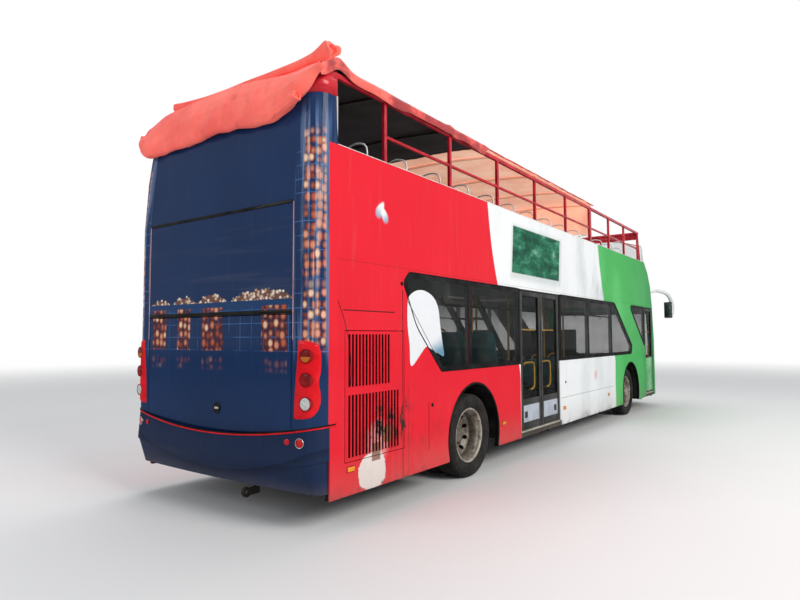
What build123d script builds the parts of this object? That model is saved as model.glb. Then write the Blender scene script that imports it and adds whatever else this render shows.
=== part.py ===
from build123d import *
import os

# Open top double decker bus on two axles, 11.8 m long and 2.55 m wide, in millimetres.
# X runs forward, Y to the bus's left and Z up, with the origin on the ground under the
# middle of the bus and its mirrors. Stations along the bus are lengths ahead of the rear
# axle, as on a builder's drawing, and ahead() turns one into X. The doors are on the right.

os.makedirs("parts", exist_ok=True)

# Main sizes
half_width = 1275
wheelbase = 6500
rear_axle_x = -3450
wall = 50
glass = 12


def ahead(station):
    """X of a station given as a length ahead of the rear axle."""
    return rear_axle_x + station


front_axle_x = ahead(wheelbase)
inside = half_width - wall

# Stations of the body's joints
tail = -2620
rear_joint = -2340
bumper_joint = -2430
bulkhead = -1450
nose_joint = 8500
upper_nose_joint = 7700

# Heights
skirt_z = 270
floor_z = 340
floor_depth = 40
platform_z = 760
belt_z = 1230
window_top_z = 2220
waist_z = 2250
ceiling_z = 2310
deck_z = 2390
parapet_z = 3217
mid_rail_z = 3500
rail_z = 3850
pillar_z = 3640

# Wheels
axle_z = 468
tyre_radius = 468
tyre_width = 275
rim_radius = 286
front_wheel_y = 1060
twin_outer_y = 1087
twin_inner_y = 777
kingpin_y = 930
arch_radius = 580

# Doors, as stations and heights
door_foot_z = 330
middle_door = (1240, 2620)
front_door = (7700, 8380)
leaf_depth = 40

# Nose outline at each height: height, station where the side starts to curve, station of
# the nose on the centreline
nose_sections = [
    (skirt_z, 8500, 9050),
    (1500, 8500, 9050),
    (2250, 8400, 8930),
    (2700, 8280, 8760),
    (3010, 8060, 8520),
    (parapet_z, 7790, 8260),
]

# Tail outline at each height: height, station of the rear face, half width
tail_foot_z = 700
tail_sections = [
    (tail_foot_z, tail, half_width),
    (2700, tail, half_width),
    (parapet_z, tail + 35, half_width),
    (pillar_z, tail + 80, half_width - 30),
]
tail_corner = 160


def nose_outline(height, corner, nose, inset=0):
    """Plan of the nose at one height, inset all round its outside."""
    back_x = ahead(7000)
    corner_x = ahead(corner)
    side_y = half_width - inset
    with BuildSketch(Plane.XY.offset(height)) as outline:
        with BuildLine():
            Line((back_x, -side_y), (corner_x, -side_y))
            RadiusArc((corner_x, -side_y), (corner_x + 420 - inset, -780), -470 + inset)
            ThreePointArc(
                (corner_x + 420 - inset, -780),
                (ahead(nose) - inset, 0),
                (corner_x + 420 - inset, 780),
            )
            RadiusArc((corner_x + 420 - inset, 780), (corner_x, side_y), -470 + inset)
            Line((corner_x, side_y), (back_x, side_y))
            Line((back_x, side_y), (back_x, -side_y))
        make_face()
    return outline.sketch


def nose_solid(inset):
    """The nose filled solid, inset all round."""
    with BuildPart() as filled:
        loft([nose_outline(*section, inset=inset) for section in nose_sections], ruled=True)
    return filled.part


def tail_outline(height, face, half, inset=0):
    """Plan of the tail at one height, inset all round its outside."""
    front_x = ahead(rear_joint)
    face_x = ahead(face) + inset
    side_y = half - inset
    radius = tail_corner - inset
    with BuildSketch(Plane.XY.offset(height)) as outline:
        with BuildLine():
            Line((front_x, side_y), (face_x + radius, side_y))
            RadiusArc((face_x + radius, side_y), (face_x, side_y - radius), -radius)
            Line((face_x, side_y - radius), (face_x, radius - side_y))
            RadiusArc((face_x, radius - side_y), (face_x + radius, -side_y), -radius)
            Line((face_x + radius, -side_y), (front_x, -side_y))
            Line((front_x, -side_y), (front_x, side_y))
        make_face()
    return outline.sketch


def tail_solid(inset):
    """The tail filled solid, inset all round."""
    with BuildPart() as filled:
        loft([tail_outline(*section, inset=inset) for section in tail_sections], ruled=True)
    return filled.part


def block(x_range, y_range, z_range):
    """A plain block between two corners, for trimming other shapes."""
    size = [high - low for low, high in (x_range, y_range, z_range)]
    middle = [(high + low) / 2 for low, high in (x_range, y_range, z_range)]
    return Pos(*middle) * Box(*size)


nose_filled = nose_solid(0)
nose_glass_back = nose_solid(glass)
nose_hollow = nose_solid(wall)
tail_filled = tail_solid(0)
tail_hollow = tail_solid(wall)


# Window outlines: (station, height, corner radius). Each is one dark glazed strip, and the
# pillars stand behind the glass.
rear_slope = [(-1405, 2120, 70), (-1300, window_top_z, 50)]
rear_slope_foot = [(-720, belt_z, 60), (-1180, 1690, 500)]
front_slope = [(5480, window_top_z, 200), (6650, 1400, 60), (6570, belt_z, 60)]
right_panes = {
    "rear": rear_slope + [(1200, window_top_z, 30), (1200, belt_z, 30)] + rear_slope_foot,
    "front": [(2660, belt_z, 30), (2660, window_top_z, 30)] + front_slope,
    "quarter": [(6480, window_top_z, 60), (7660, window_top_z, 30), (7660, 1350, 30)],
}
left_panes = {
    "band": rear_slope + front_slope + rear_slope_foot,
    "driver": [
        (6480, window_top_z, 60),
        (8350, window_top_z, 40),
        (8350, 1090, 60),
        (8080, 1160, 200),
    ],
}
pillar_stations = [-100, 1200, 2660, 3960, 5260]
pillar_width = 70
glass_lap = 40

# Grille door in the right wall: stations and heights of its opening
grille_stations = (-2250, -1390)
grille_heights = (540, 1650)

bumper_side_z = 880
wall_outline = [
    (rear_joint, bumper_side_z),
    (rear_joint, waist_z),
    (8400, waist_z),
    (nose_joint, 1500),
    (nose_joint, skirt_z),
    (bumper_joint, skirt_z),
    (bumper_joint, bumper_side_z),
]


def side_plane(side, depth=0):
    """Plane of a body side, side -1 being the right, depth in from its face."""
    return Plane.XZ.offset(-side * (half_width - depth))


def pane_outline(corners, lap=0):
    """Outline of one window, shrunk all round by lap."""
    points = [(ahead(station), height) for station, height, radius in corners]
    with BuildSketch() as pane:
        with BuildLine():
            FilletPolyline(*points, radius=[corner[2] for corner in corners], close=True)
        make_face()
        if lap:
            offset(amount=-lap)
    return pane.sketch


def opening_outline(stations, heights):
    """A rectangle given by its stations and heights."""
    width = stations[1] - stations[0]
    height = heights[1] - heights[0]
    return Pos(ahead(sum(stations) / 2), sum(heights) / 2) * Rectangle(width, height)


def side_wall(side, panes, openings):
    """A lower side wall: skirt, arches, windows with a rebate for the glass, and doors."""
    outline = [(ahead(station), height) for station, height in wall_outline]
    lights = [pane_outline(corners, glass_lap) for corners in panes.values()]
    rebates = [pane_outline(corners) for corners in panes.values()]
    with BuildPart() as wall_part:
        with BuildSketch(side_plane(side)):
            Polygon(*outline, align=None)
            with Locations((rear_axle_x, axle_z + 10), (front_axle_x, axle_z + 10)):
                Circle(arch_radius, mode=Mode.SUBTRACT)
            with Locations((rear_axle_x, skirt_z), (front_axle_x, skirt_z)):
                Rectangle(2 * arch_radius - 50, 400, mode=Mode.SUBTRACT)
            for opening in openings:
                add(opening, mode=Mode.SUBTRACT)
            for light in lights:
                add(light, mode=Mode.SUBTRACT)
        extrude(amount=side * wall)
        with BuildSketch(side_plane(side)):
            for rebate in rebates:
                add(rebate)
        extrude(amount=side * glass, mode=Mode.SUBTRACT)
        with BuildSketch(side_plane(side, glass)):
            for station in pillar_stations:
                with Locations((ahead(station), (belt_z + window_top_z) / 2)):
                    Rectangle(pillar_width, window_top_z - belt_z - 2)
            for opening in openings:
                add(opening, mode=Mode.SUBTRACT)
        extrude(amount=side * (wall - glass))
    return wall_part


door_heights = (door_foot_z, window_top_z)
right_openings = [
    opening_outline(middle_door, door_heights),
    opening_outline(front_door, door_heights),
    opening_outline(grille_stations, grille_heights),
]
right_side_wall = side_wall(-1, right_panes, right_openings)
right_side_wall.part.label = "right_side_wall"
export_step(right_side_wall.part, "parts/right_side_wall.step")

left_side_wall = side_wall(1, left_panes, [])
left_side_wall.part.label = "left_side_wall"
export_step(left_side_wall.part, "parts/left_side_wall.step")

# Bonded side glass, flush with the walls
with BuildPart() as side_glazing:
    for side, panes in ((-1, right_panes), (1, left_panes)):
        with BuildSketch(side_plane(side)):
            for corners in panes.values():
                add(pane_outline(corners))
        extrude(amount=side * glass)
side_glazing.part.label = "side_glazing"
export_step(side_glazing.part, "parts/side_glazing.step")

# Parapets: the upper side panels, which close the open deck
parapet_outline = opening_outline((rear_joint, upper_nose_joint), (waist_z, parapet_z))
with BuildPart() as side_parapets:
    for side in (-1, 1):
        with BuildSketch(side_plane(side)):
            add(parapet_outline)
        extrude(amount=side * wall)
side_parapets.part.label = "side_parapets"
export_step(side_parapets.part, "parts/side_parapets.step")

# Front mask: the nose below the waist, with its windscreen opening
mask_outline = [
    (nose_joint, skirt_z),
    (nose_joint, 1500),
    (8400, waist_z),
    (9200, waist_z),
    (9200, skirt_z),
]
windscreen_space = block((ahead(8560), ahead(9200)), (-1130, 1130), (1080, 2190))
with BuildPart() as front_mask:
    with BuildSketch(Plane.XZ):
        Polygon(*[(ahead(station), height) for station, height in mask_outline], align=None)
    extrude(amount=half_width + 10, both=True)
    add(nose_filled, mode=Mode.INTERSECT)
    add(nose_hollow, mode=Mode.SUBTRACT)
    add(windscreen_space, mode=Mode.SUBTRACT)
front_mask.part.label = "front_mask"
export_step(front_mask.part, "parts/front_mask.step")

# Upper nose panel, raked back to the parapets
with BuildPart() as upper_front_panel:
    add(nose_filled)
    add(nose_hollow, mode=Mode.SUBTRACT)
    add(
        block((ahead(upper_nose_joint), ahead(9200)), (-1400, 1400), (waist_z, parapet_z)),
        mode=Mode.INTERSECT,
    )
upper_front_panel.part.label = "upper_front_panel"
export_step(upper_front_panel.part, "parts/upper_front_panel.step")

# The rear bumper's top edge is bowed across the bus: y and height
bumper_top = [(-1290, bumper_side_z), (0, 755), (1290, bumper_side_z)]


def below_arc(arc, foot, lift=0):
    """A block behind the tail whose top follows an arc across the bus, raised by lift."""
    (right_y, right_z), (middle_y, middle_z), (left_y, left_z) = arc
    with BuildPart() as space:
        with BuildSketch(Plane.YZ.offset(ahead(rear_joint))):
            with BuildLine():
                ThreePointArc(
                    (right_y, right_z + lift),
                    (middle_y, middle_z + lift),
                    (left_y, left_z + lift),
                )
                Polyline((left_y, left_z + lift), (left_y, foot), (right_y, foot))
                Line((right_y, foot), (right_y, right_z + lift))
            make_face()
        extrude(amount=-600)
    return space.part


# Tail: corner pillars and the panels round the engine hatch and the covered rear window,
# with a gap over the bumper
hatch_gap = 8
over_bumper = below_arc(bumper_top, 0, hatch_gap)
over_walls = block((ahead(bumper_joint), ahead(rear_joint)), (-1300, 1300), (0, bumper_side_z))
hatch_half = 1030
hatch_top_z = 1785
window_heights = (1810, 2712)
window_depth = 20
hatch_space = block((ahead(-2700), ahead(-2540)), (-hatch_half, hatch_half), (700, hatch_top_z))
window_space = block(
    (ahead(-2700), ahead(tail + window_depth)),
    (-hatch_half, hatch_half),
    window_heights,
)
with BuildPart() as rear_panel:
    add(tail_filled)
    add(tail_hollow, mode=Mode.SUBTRACT)
    add(hatch_space, mode=Mode.SUBTRACT)
    add(window_space, mode=Mode.SUBTRACT)
    add(over_bumper, mode=Mode.SUBTRACT)
    add(over_walls, mode=Mode.SUBTRACT)
rear_panel.part.label = "rear_panel"
export_step(rear_panel.part, "parts/rear_panel.step")

# End glazing: the windscreen, the raked wind screen that stands on the nose of the open
# deck, and the rear window, which a print covers
screen_sections = [(parapet_z, 7790, 8260), (3830, 7560, 8030)]
screen_faces = (6, 16)
screen_end = 7660
screen_top = [(-1290, 3560), (0, 3825), (1290, 3560)]
screen_outer, screen_inner = [
    loft([nose_outline(*section, inset=inset) for section in screen_sections], ruled=True)
    for inset in screen_faces
]
with BuildPart() as wind_screen:
    with BuildSketch(Plane.YZ.offset(ahead(screen_end))):
        with BuildLine():
            ThreePointArc(*screen_top)
            Polyline(screen_top[2], (1290, parapet_z), (-1290, parapet_z), screen_top[0])
        make_face()
    extrude(amount=700)
    add(screen_outer, mode=Mode.INTERSECT)
    add(screen_inner, mode=Mode.SUBTRACT)
with BuildPart() as end_glazing:
    add(nose_filled)
    add(nose_glass_back, mode=Mode.SUBTRACT)
    add(windscreen_space, mode=Mode.INTERSECT)
    add(wind_screen.part)
    with BuildSketch(Plane.YZ.offset(ahead(tail))):
        with Locations((0, sum(window_heights) / 2)):
            Rectangle(2 * hatch_half, window_heights[1] - window_heights[0])
    extrude(amount=window_depth)
end_glazing.part.label = "end_glazing"
export_step(end_glazing.part, "parts/end_glazing.step")

# Bumper outline at each height: height, station of the face on the centreline, corner
# radius. The face bows back by bumper_bow at its corners.
bumper_sections = [(330, -2600, 120), (560, -2690, 160), (bumper_side_z, -2665, 160)]
bumper_bow = 45
bumper_wall = 60
# Its lower lip stands in by lip_depth under a crease that curves up to the sides
bumper_crease = [(-1290, 600), (0, 480), (1290, 600)]
lip_depth = 16
fog_lamp_y = 1130
fog_lamp_z = 748
fog_lamp_radius = 42


def bumper_outline(height, face, corner, inset):
    """Plan of the rear bumper at one height."""
    joint_x = ahead(bumper_joint)
    face_x = ahead(face) + inset
    bow_x = face_x + bumper_bow
    side_y = half_width - inset
    radius = corner - inset
    with BuildSketch(Plane.XY.offset(height)) as outline:
        with BuildLine():
            Line((joint_x, side_y), (bow_x + radius, side_y))
            RadiusArc((bow_x + radius, side_y), (bow_x, side_y - radius), -radius)
            ThreePointArc((bow_x, side_y - radius), (face_x, 0), (bow_x, radius - side_y))
            RadiusArc((bow_x, radius - side_y), (bow_x + radius, -side_y), -radius)
            Line((bow_x + radius, -side_y), (joint_x, -side_y))
            Line((joint_x, -side_y), (joint_x, side_y))
        make_face()
    return outline.sketch


def bumper_solid(inset):
    """The bumper filled solid, inset all round."""
    return loft([bumper_outline(*section, inset) for section in bumper_sections], ruled=True)


with BuildPart() as rear_bumper:
    add(bumper_solid(0))
    add(below_arc(bumper_crease, 0), mode=Mode.SUBTRACT)
    add(bumper_solid(lip_depth))
    add(bumper_solid(bumper_wall), mode=Mode.SUBTRACT)
    add(below_arc(bumper_top, 0), mode=Mode.INTERSECT)
    for side in (-1, 1):
        with Locations((ahead(tail), side * fog_lamp_y, fog_lamp_z)):
            Cylinder(fog_lamp_radius, 250, rotation=(0, 90, 0), mode=Mode.SUBTRACT)
rear_bumper.part.label = "rear_bumper"
export_step(rear_bumper.part, "parts/rear_bumper.step")

# Upper deck: the floor of the open deck and ceiling of the saloon, with the stair well
nose_fit = nose_solid(wall + 2)
stair_well = ((2980, 5000), (480, 1180))
with BuildPart() as upper_deck:
    add(nose_fit)
    deck_trim = block((ahead(upper_nose_joint), ahead(9200)), (-1400, 1400), (ceiling_z, deck_z))
    add(deck_trim, mode=Mode.INTERSECT)
    with BuildSketch(Plane.XY.offset(ceiling_z)):
        with Locations(((ahead(-2288) + ahead(upper_nose_joint)) / 2, 0)):
            Rectangle(upper_nose_joint + 2288, 2 * inside)
        with Locations((ahead(sum(stair_well[0]) / 2), sum(stair_well[1]) / 2)):
            Rectangle(
                stair_well[0][1] - stair_well[0][0],
                stair_well[1][1] - stair_well[1][0],
                mode=Mode.SUBTRACT,
            )
    extrude(amount=deck_z - ceiling_z)
upper_deck.part.label = "upper_deck"
export_step(upper_deck.part, "parts/upper_deck.step")

# Wheel boxes: station, half length, inner face's distance from the centreline, foot, top
wheel_boxes = [
    (0, 620, 590, platform_z - floor_depth, 1090),
    (wheelbase, 700, 540, floor_z - floor_depth, 1060),
]
box_wall = 25
box_clearing = 1000
floor_half = inside - 1


def wheel_box_sketch(station, half_length, inner_y):
    """Footprints of the two boxes over one axle's wheels."""
    width = floor_half - inner_y
    middle_y = inner_y + width / 2
    return Sketch() + [
        Pos(ahead(station), side * middle_y) * Rectangle(2 * half_length, width)
        for side in (-1, 1)
    ]


rear_box_footprint, front_box_footprint = [wheel_box_sketch(*box[:3]) for box in wheel_boxes]
with BuildPart() as wheel_box_walls:
    for footprint, box in zip((rear_box_footprint, front_box_footprint), wheel_boxes):
        foot, top = box[3:]
        with BuildSketch(Plane.XY.offset(foot)):
            add(footprint)
        extrude(amount=top - foot)
    for station, half_length, inner_y, foot, top in wheel_boxes:
        for side in (-1, 1):
            cut_y = inner_y + box_wall + box_clearing / 2
            with Locations((ahead(station), side * cut_y, 0)):
                Box(
                    2 * (half_length - box_wall),
                    box_clearing,
                    top - box_wall,
                    align=(Align.CENTER, Align.CENTER, Align.MIN),
                    mode=Mode.SUBTRACT,
                )
wheel_box_walls.part.label = "wheel_box_walls"
export_step(wheel_box_walls.part, "parts/wheel_box_walls.step")

# Lower floor: low from the nose to the middle door
platform_front = 1100
floor_front = 8490
with BuildPart() as lower_floor:
    with BuildSketch(Plane.XY.offset(floor_z - floor_depth)):
        with Locations((ahead((platform_front + floor_front) / 2), 0)):
            Rectangle(floor_front - platform_front, 2 * floor_half)
        add(front_box_footprint, mode=Mode.SUBTRACT)
    extrude(amount=floor_depth)
lower_floor.part.label = "lower_floor"
export_step(lower_floor.part, "parts/lower_floor.step")

# Rear platform: the step up behind the middle door, the floor over the rear axle and the
# engine bulkhead
platform_line = [
    (platform_front, floor_z - floor_depth),
    (platform_front - floor_depth, floor_z - floor_depth),
    (platform_front - floor_depth, platform_z - floor_depth),
    (bulkhead, platform_z - floor_depth),
    (bulkhead, ceiling_z - 2),
    (bulkhead + floor_depth, ceiling_z - 2),
    (bulkhead + floor_depth, platform_z),
    (platform_front, platform_z),
]
with BuildPart() as rear_platform:
    with BuildSketch(Plane.XZ):
        Polygon(*[(ahead(station), height) for station, height in platform_line], align=None)
    extrude(amount=floor_half, both=True)
    with BuildSketch(Plane.XY.offset(platform_z - floor_depth)):
        add(rear_box_footprint)
    extrude(amount=floor_depth, mode=Mode.SUBTRACT)
rear_platform.part.label = "rear_platform"
export_step(rear_platform.part, "parts/rear_platform.step")

# Chassis: two long members with cross members out to the skirts under the low floor, and
# a rear frame that steps up over the rear axle
member_y = 420
member_width = 90
cross_width = 80
low_member = (230, floor_z - floor_depth)
frame_joint = 1010
frame_front = 8450
frame_tail = -2420
high_member = (620, platform_z - floor_depth)
rear_member_line = [
    (frame_joint, low_member[1]),
    (700, high_member[1]),
    (frame_tail, high_member[1]),
    (frame_tail, high_member[0]),
    (650, high_member[0]),
    (950, low_member[0]),
    (frame_joint, low_member[0]),
]
low_cross_stations = [8400, 7500, 5600, 4500, 3400, 2300, 1300]
high_cross_stations = [-2380, -1500, -700]
with BuildPart() as chassis_frame:
    low_depth = low_member[1] - low_member[0]
    low_middle = sum(low_member) / 2
    for side in (-1, 1):
        with Locations((ahead((frame_joint + frame_front) / 2), side * member_y, low_middle)):
            Box(frame_front - frame_joint, member_width, low_depth)
    with Locations(*[(ahead(station), 0, low_middle) for station in low_cross_stations]):
        Box(cross_width, 2 * inside - 20, low_depth)
chassis_frame.part.label = "chassis_frame"
export_step(chassis_frame.part, "parts/chassis_frame.step")

with BuildPart() as rear_frame:
    for side in (-1, 1):
        with BuildSketch(Plane.XZ.offset(-side * member_y)):
            Polygon(
                *[(ahead(station), height) for station, height in rear_member_line], align=None
            )
        extrude(amount=member_width / 2, both=True)
    high_middle = sum(high_member) / 2
    with Locations(*[(ahead(station), 0, high_middle) for station in high_cross_stations]):
        Box(cross_width, 2 * member_y, cross_width)
rear_frame.part.label = "rear_frame"
export_step(rear_frame.part, "parts/rear_frame.step")

# Engine: one plain block between the rear cross members, hung from the long members
engine_size = (780, 740, 860)
engine_station = -1950
engine_z = 900
mount_size = (400, 2 * member_y + 60, 60)
with BuildPart() as engine_block:
    with Locations((ahead(engine_station), 0, engine_z)):
        Box(*engine_size)
    with Locations((ahead(engine_station), 0, high_member[1] + mount_size[2] / 2)):
        Box(*mount_size)
engine_block.part.label = "engine_block"
export_step(engine_block.part, "parts/engine_block.step")

# Axles
spindle_radius = 55
running_gap = 0.3


def across(axle_x, y=0):
    """Plane with local x along the bus's width and local y up, centred on an axle."""
    return Plane(origin=(axle_x, y, axle_z), x_dir=(0, 1, 0), z_dir=(1, 0, 0))


def axle_axis(axle_x):
    """The line that the wheels of one axle turn about."""
    return Axis((axle_x, 0, axle_z), (0, 1, 0))


# Rear axle: differential, tubes and spindles, half of its outline as (y, radius)
rear_axle_line = [
    (0, 0),
    (0, 200),
    (120, 190),
    (210, 90),
    (560, 80),
    (600, spindle_radius),
    (1010, spindle_radius),
    (1010, 0),
]
with BuildPart() as rear_axle:
    with BuildSketch(across(rear_axle_x)):
        Polygon(*rear_axle_line, align=None)
        mirror(about=Plane.YZ)
    revolve(axis=axle_axis(rear_axle_x))
rear_axle.part.label = "rear_axle"
export_step(rear_axle.part, "parts/rear_axle.step")

# Front axle: a dropped beam with an eye for the kingpin at each end
kingpin_radius = 24
beam_half_depth = 55
eye_radius = 60
eye_height = 124
beam_line = [
    (0, -310),
    (600, -310),
    (760, -62),
    (900, -62),
    (900, 62),
    (720, 62),
    (560, -242),
    (0, -242),
]
with BuildPart() as front_axle:
    with BuildSketch(across(front_axle_x)):
        Polygon(*beam_line, align=None)
        mirror(about=Plane.YZ)
    extrude(amount=beam_half_depth, both=True)
    for side in (-1, 1):
        with Locations((front_axle_x, side * kingpin_y, axle_z)):
            Cylinder(eye_radius, eye_height)
            Cylinder(kingpin_radius + running_gap, eye_height, mode=Mode.SUBTRACT)
front_axle.part.label = "front_axle"
export_step(front_axle.part, "parts/front_axle.step")

# Steering knuckles: a fork over the beam's eye, its kingpin, and the wheel's spindle. The
# fork's yoke and arms and the spindle lie outboard of the kingpin.
fork_gap = 66
fork_z = 120
fork_radius = 58
yoke_size = (110, 16, 2 * fork_z)
yoke_at = 82
arm_size = (90, 90, fork_z - fork_gap)
arm_at = 40
spindle_length = 110
spindle_at = 140
for side, name in ((-1, "knuckle_right"), (1, "knuckle_left")):
    with BuildPart() as knuckle:
        with Locations((front_axle_x, side * kingpin_y, axle_z)):
            Cylinder(fork_radius, 2 * fork_z)
            Cylinder(fork_radius + 12, 2 * fork_gap, mode=Mode.SUBTRACT)
            Cylinder(kingpin_radius, 2 * fork_z)
        with Locations((front_axle_x, side * (kingpin_y + yoke_at), axle_z)):
            Box(*yoke_size)
        for up in (-1, 1):
            arm_z = axle_z + up * (fork_gap + fork_z) / 2
            with Locations((front_axle_x, side * (kingpin_y + arm_at), arm_z)):
                Box(*arm_size)
        with Locations((front_axle_x, side * (kingpin_y + spindle_at), axle_z)):
            Cylinder(spindle_radius, spindle_length, rotation=(90, 0, 0))
    knuckle.part.label = name
    export_step(knuckle.part, f"parts/{name}.step")

# Wheels. Profiles are (across, radius) from the wheel's centre, outboard positive.
rim_half = 108
disc = 12
flange = 10
flange_radius = 304
rim_line = [
    (-rim_half, flange_radius),
    (-rim_half, rim_radius - disc),
    (rim_half, rim_radius - disc),
    (rim_half, flange_radius),
    (rim_half - flange, flange_radius),
    (rim_half - flange, rim_radius),
    (flange - rim_half, rim_radius),
    (flange - rim_half, flange_radius),
]
hub_bore = spindle_radius + running_gap
disc_radius = 276
disc_bore = 60
hand_hole_circle = 212
hand_hole_radius = 27
hand_holes = 10


# Tyre profile: the bead, the widest line of the wall, the shoulder and the tread's edge
bead = (rim_half - flange, flange_radius + 2)
wall_line = (tyre_width / 2, 385)
shoulder = (tyre_width / 2 - 14, 444)
tread = (tyre_width / 2 - 34, tyre_radius)
shoulder_radius = 30


def inboard(point):
    """The same point of a wheel's profile on its inboard side."""
    return (-point[0], point[1])


def tyre_ring(axle_x, centre_y):
    """One tyre with its centre at centre_y."""
    with BuildPart() as ring:
        with BuildSketch(across(axle_x, centre_y)):
            with BuildLine():
                Polyline(inboard(bead), (-bead[0], rim_radius), (bead[0], rim_radius), bead)
                ThreePointArc(bead, wall_line, shoulder)
                RadiusArc(shoulder, tread, -shoulder_radius)
                Line(tread, inboard(tread))
                RadiusArc(inboard(tread), inboard(shoulder), -shoulder_radius)
                ThreePointArc(inboard(shoulder), inboard(wall_line), inboard(bead))
            make_face()
        revolve(axis=axle_axis(axle_x))
    return ring.part


def rim_ring(axle_x, centre_y, side, disc_at):
    """One rim with its disc, disc_at being how far outboard of the rim's centre it lies."""
    disc_y = centre_y + side * disc_at
    with BuildPart() as ring:
        with BuildSketch(across(axle_x, centre_y)):
            Polygon(*rim_line, align=None)
        revolve(axis=axle_axis(axle_x))
        with BuildSketch(Plane.XZ.offset(-disc_y)):
            with Locations((axle_x, axle_z)):
                Circle(disc_radius)
                Circle(disc_bore, mode=Mode.SUBTRACT)
                with PolarLocations(hand_hole_circle, hand_holes):
                    Circle(hand_hole_radius, mode=Mode.SUBTRACT)
        extrude(amount=disc / 2, both=True)
    return ring.part


def hub(axle_x, side, start_y, end_y, radius):
    """A hub turning on the spindle, closed by a cap at its outboard end."""
    with BuildPart() as barrel:
        with BuildSketch(across(axle_x)):
            with BuildLine():
                Polyline(
                    (side * start_y, hub_bore),
                    (side * start_y, radius),
                    (side * (end_y - 30), radius),
                    (side * end_y, radius - 30),
                    (side * (end_y + 30), radius - 40),
                    (side * (end_y + 30), 0),
                    (side * (end_y + 12), 0),
                    (side * (end_y + 12), hub_bore),
                    close=True,
                )
            make_face()
        revolve(axis=axle_axis(axle_x))
    return barrel.part


front_disc_at = 70
for side, corner in ((-1, "right"), (1, "left")):
    centre_y = side * front_wheel_y
    with BuildPart() as front_tyre:
        add(tyre_ring(front_axle_x, centre_y))
    front_tyre.part.label = f"tyre_front_{corner}"
    export_step(front_tyre.part, f"parts/tyre_front_{corner}.step")
    with BuildPart() as front_rim:
        add(rim_ring(front_axle_x, centre_y, side, front_disc_at))
        add(hub(front_axle_x, side, kingpin_y + 100, 1150, 110))
    front_rim.part.label = f"rim_front_{corner}"
    export_step(front_rim.part, f"parts/rim_front_{corner}.step")

twin_centres = (twin_inner_y, twin_outer_y)
for side, corner in ((-1, "right"), (1, "left")):
    with BuildPart() as twin_tyres:
        for centre in twin_centres:
            add(tyre_ring(rear_axle_x, side * centre))
    twin_tyres.part.label = f"tyres_rear_{corner}"
    export_step(twin_tyres.part, f"parts/tyres_rear_{corner}.step")
    with BuildPart() as twin_rims:
        add(rim_ring(rear_axle_x, side * twin_inner_y, side, 90))
        add(rim_ring(rear_axle_x, side * twin_outer_y, side, -90))
        add(hub(rear_axle_x, side, 640, 1030, 135))
    twin_rims.part.label = f"rims_rear_{corner}"
    export_step(twin_rims.part, f"parts/rims_rear_{corner}.step")

# Door leaves: a frame with a kick panel at its foot, and the glass let into it. The leaf
# turns inward on the post at its outer edge.
leaf_face = 10
leaf_corner = 18
leaf_foot_z = 352
leaf_head_z = 2196
frame_bar = 62
kick_z = 760
kick_margin = 45
kick_corner = 20
kick_depth = 6
leaf_glass = 8
leaf_glass_at = 16
# Leaves: name, near and far station
leaves = [
    ("middle_door_rear_leaf", 1262, 1924),
    ("middle_door_front_leaf", 1936, 2598),
    ("front_door_leaf", 7722, 8358),
]
for name, start, end in leaves:
    middle_x = ahead((start + end) / 2)
    light_width = end - start - 2 * frame_bar
    light_head_z = leaf_head_z - frame_bar
    with BuildPart() as leaf:
        with BuildSketch(side_plane(-1, leaf_face)):
            with Locations((middle_x, (leaf_foot_z + leaf_head_z) / 2)):
                RectangleRounded(end - start, leaf_head_z - leaf_foot_z, leaf_corner)
            with Locations((middle_x, (kick_z + light_head_z) / 2)):
                Rectangle(light_width, light_head_z - kick_z, mode=Mode.SUBTRACT)
        extrude(amount=-leaf_depth)
        with BuildSketch(side_plane(-1, leaf_face)):
            with Locations((middle_x, (leaf_foot_z + kick_z) / 2)):
                kick_height = kick_z - leaf_foot_z - 2 * kick_margin
                RectangleRounded(light_width, kick_height, kick_corner)
        extrude(amount=-kick_depth, mode=Mode.SUBTRACT)
        with BuildSketch(side_plane(-1, leaf_face + leaf_glass_at)):
            with Locations((middle_x, (kick_z + light_head_z) / 2)):
                Rectangle(light_width, light_head_z - kick_z)
        extrude(amount=-leaf_glass)
    leaf.part.label = name
    export_step(leaf.part, f"parts/{name}.step")

# Engine hatch in the tail, hinged along its top edge, its foot following the bumper
hatch_depth = 40
hatch_heights = (tail_foot_z, hatch_top_z - hatch_gap)
with BuildPart() as engine_hatch:
    with BuildSketch(Plane.YZ.offset(ahead(tail))):
        with Locations((0, sum(hatch_heights) / 2)):
            Rectangle(2 * (hatch_half - hatch_gap), hatch_heights[1] - hatch_heights[0])
    extrude(amount=hatch_depth)
    add(over_bumper, mode=Mode.SUBTRACT)
engine_hatch.part.label = "engine_hatch"
export_step(engine_hatch.part, "parts/engine_hatch.step")

# Grille door over the radiators: two banks of upright slots
grille_gap = 7
grille_depth = 30
# Banks of slots: first station, count, foot and head
slot_banks = [(-2190, 13, 1170, 1615), (-2190, 16, 580, 1100)]
slot_pitch = 46
slot_width = 26
with BuildPart() as grille_door_leaf:
    with BuildSketch(side_plane(-1)):
        with Locations((ahead(sum(grille_stations) / 2), sum(grille_heights) / 2)):
            Rectangle(
                grille_stations[1] - grille_stations[0] - 2 * grille_gap,
                grille_heights[1] - grille_heights[0] - 2 * grille_gap,
            )
        for first, count, foot, head in slot_banks:
            for index in range(count):
                with Locations((ahead(first + index * slot_pitch), (foot + head) / 2)):
                    Rectangle(slot_width, head - foot, mode=Mode.SUBTRACT)
    extrude(amount=-grille_depth)
grille_door_leaf.part.label = "grille_door"
export_step(grille_door_leaf.part, "parts/grille_door.step")

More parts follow.
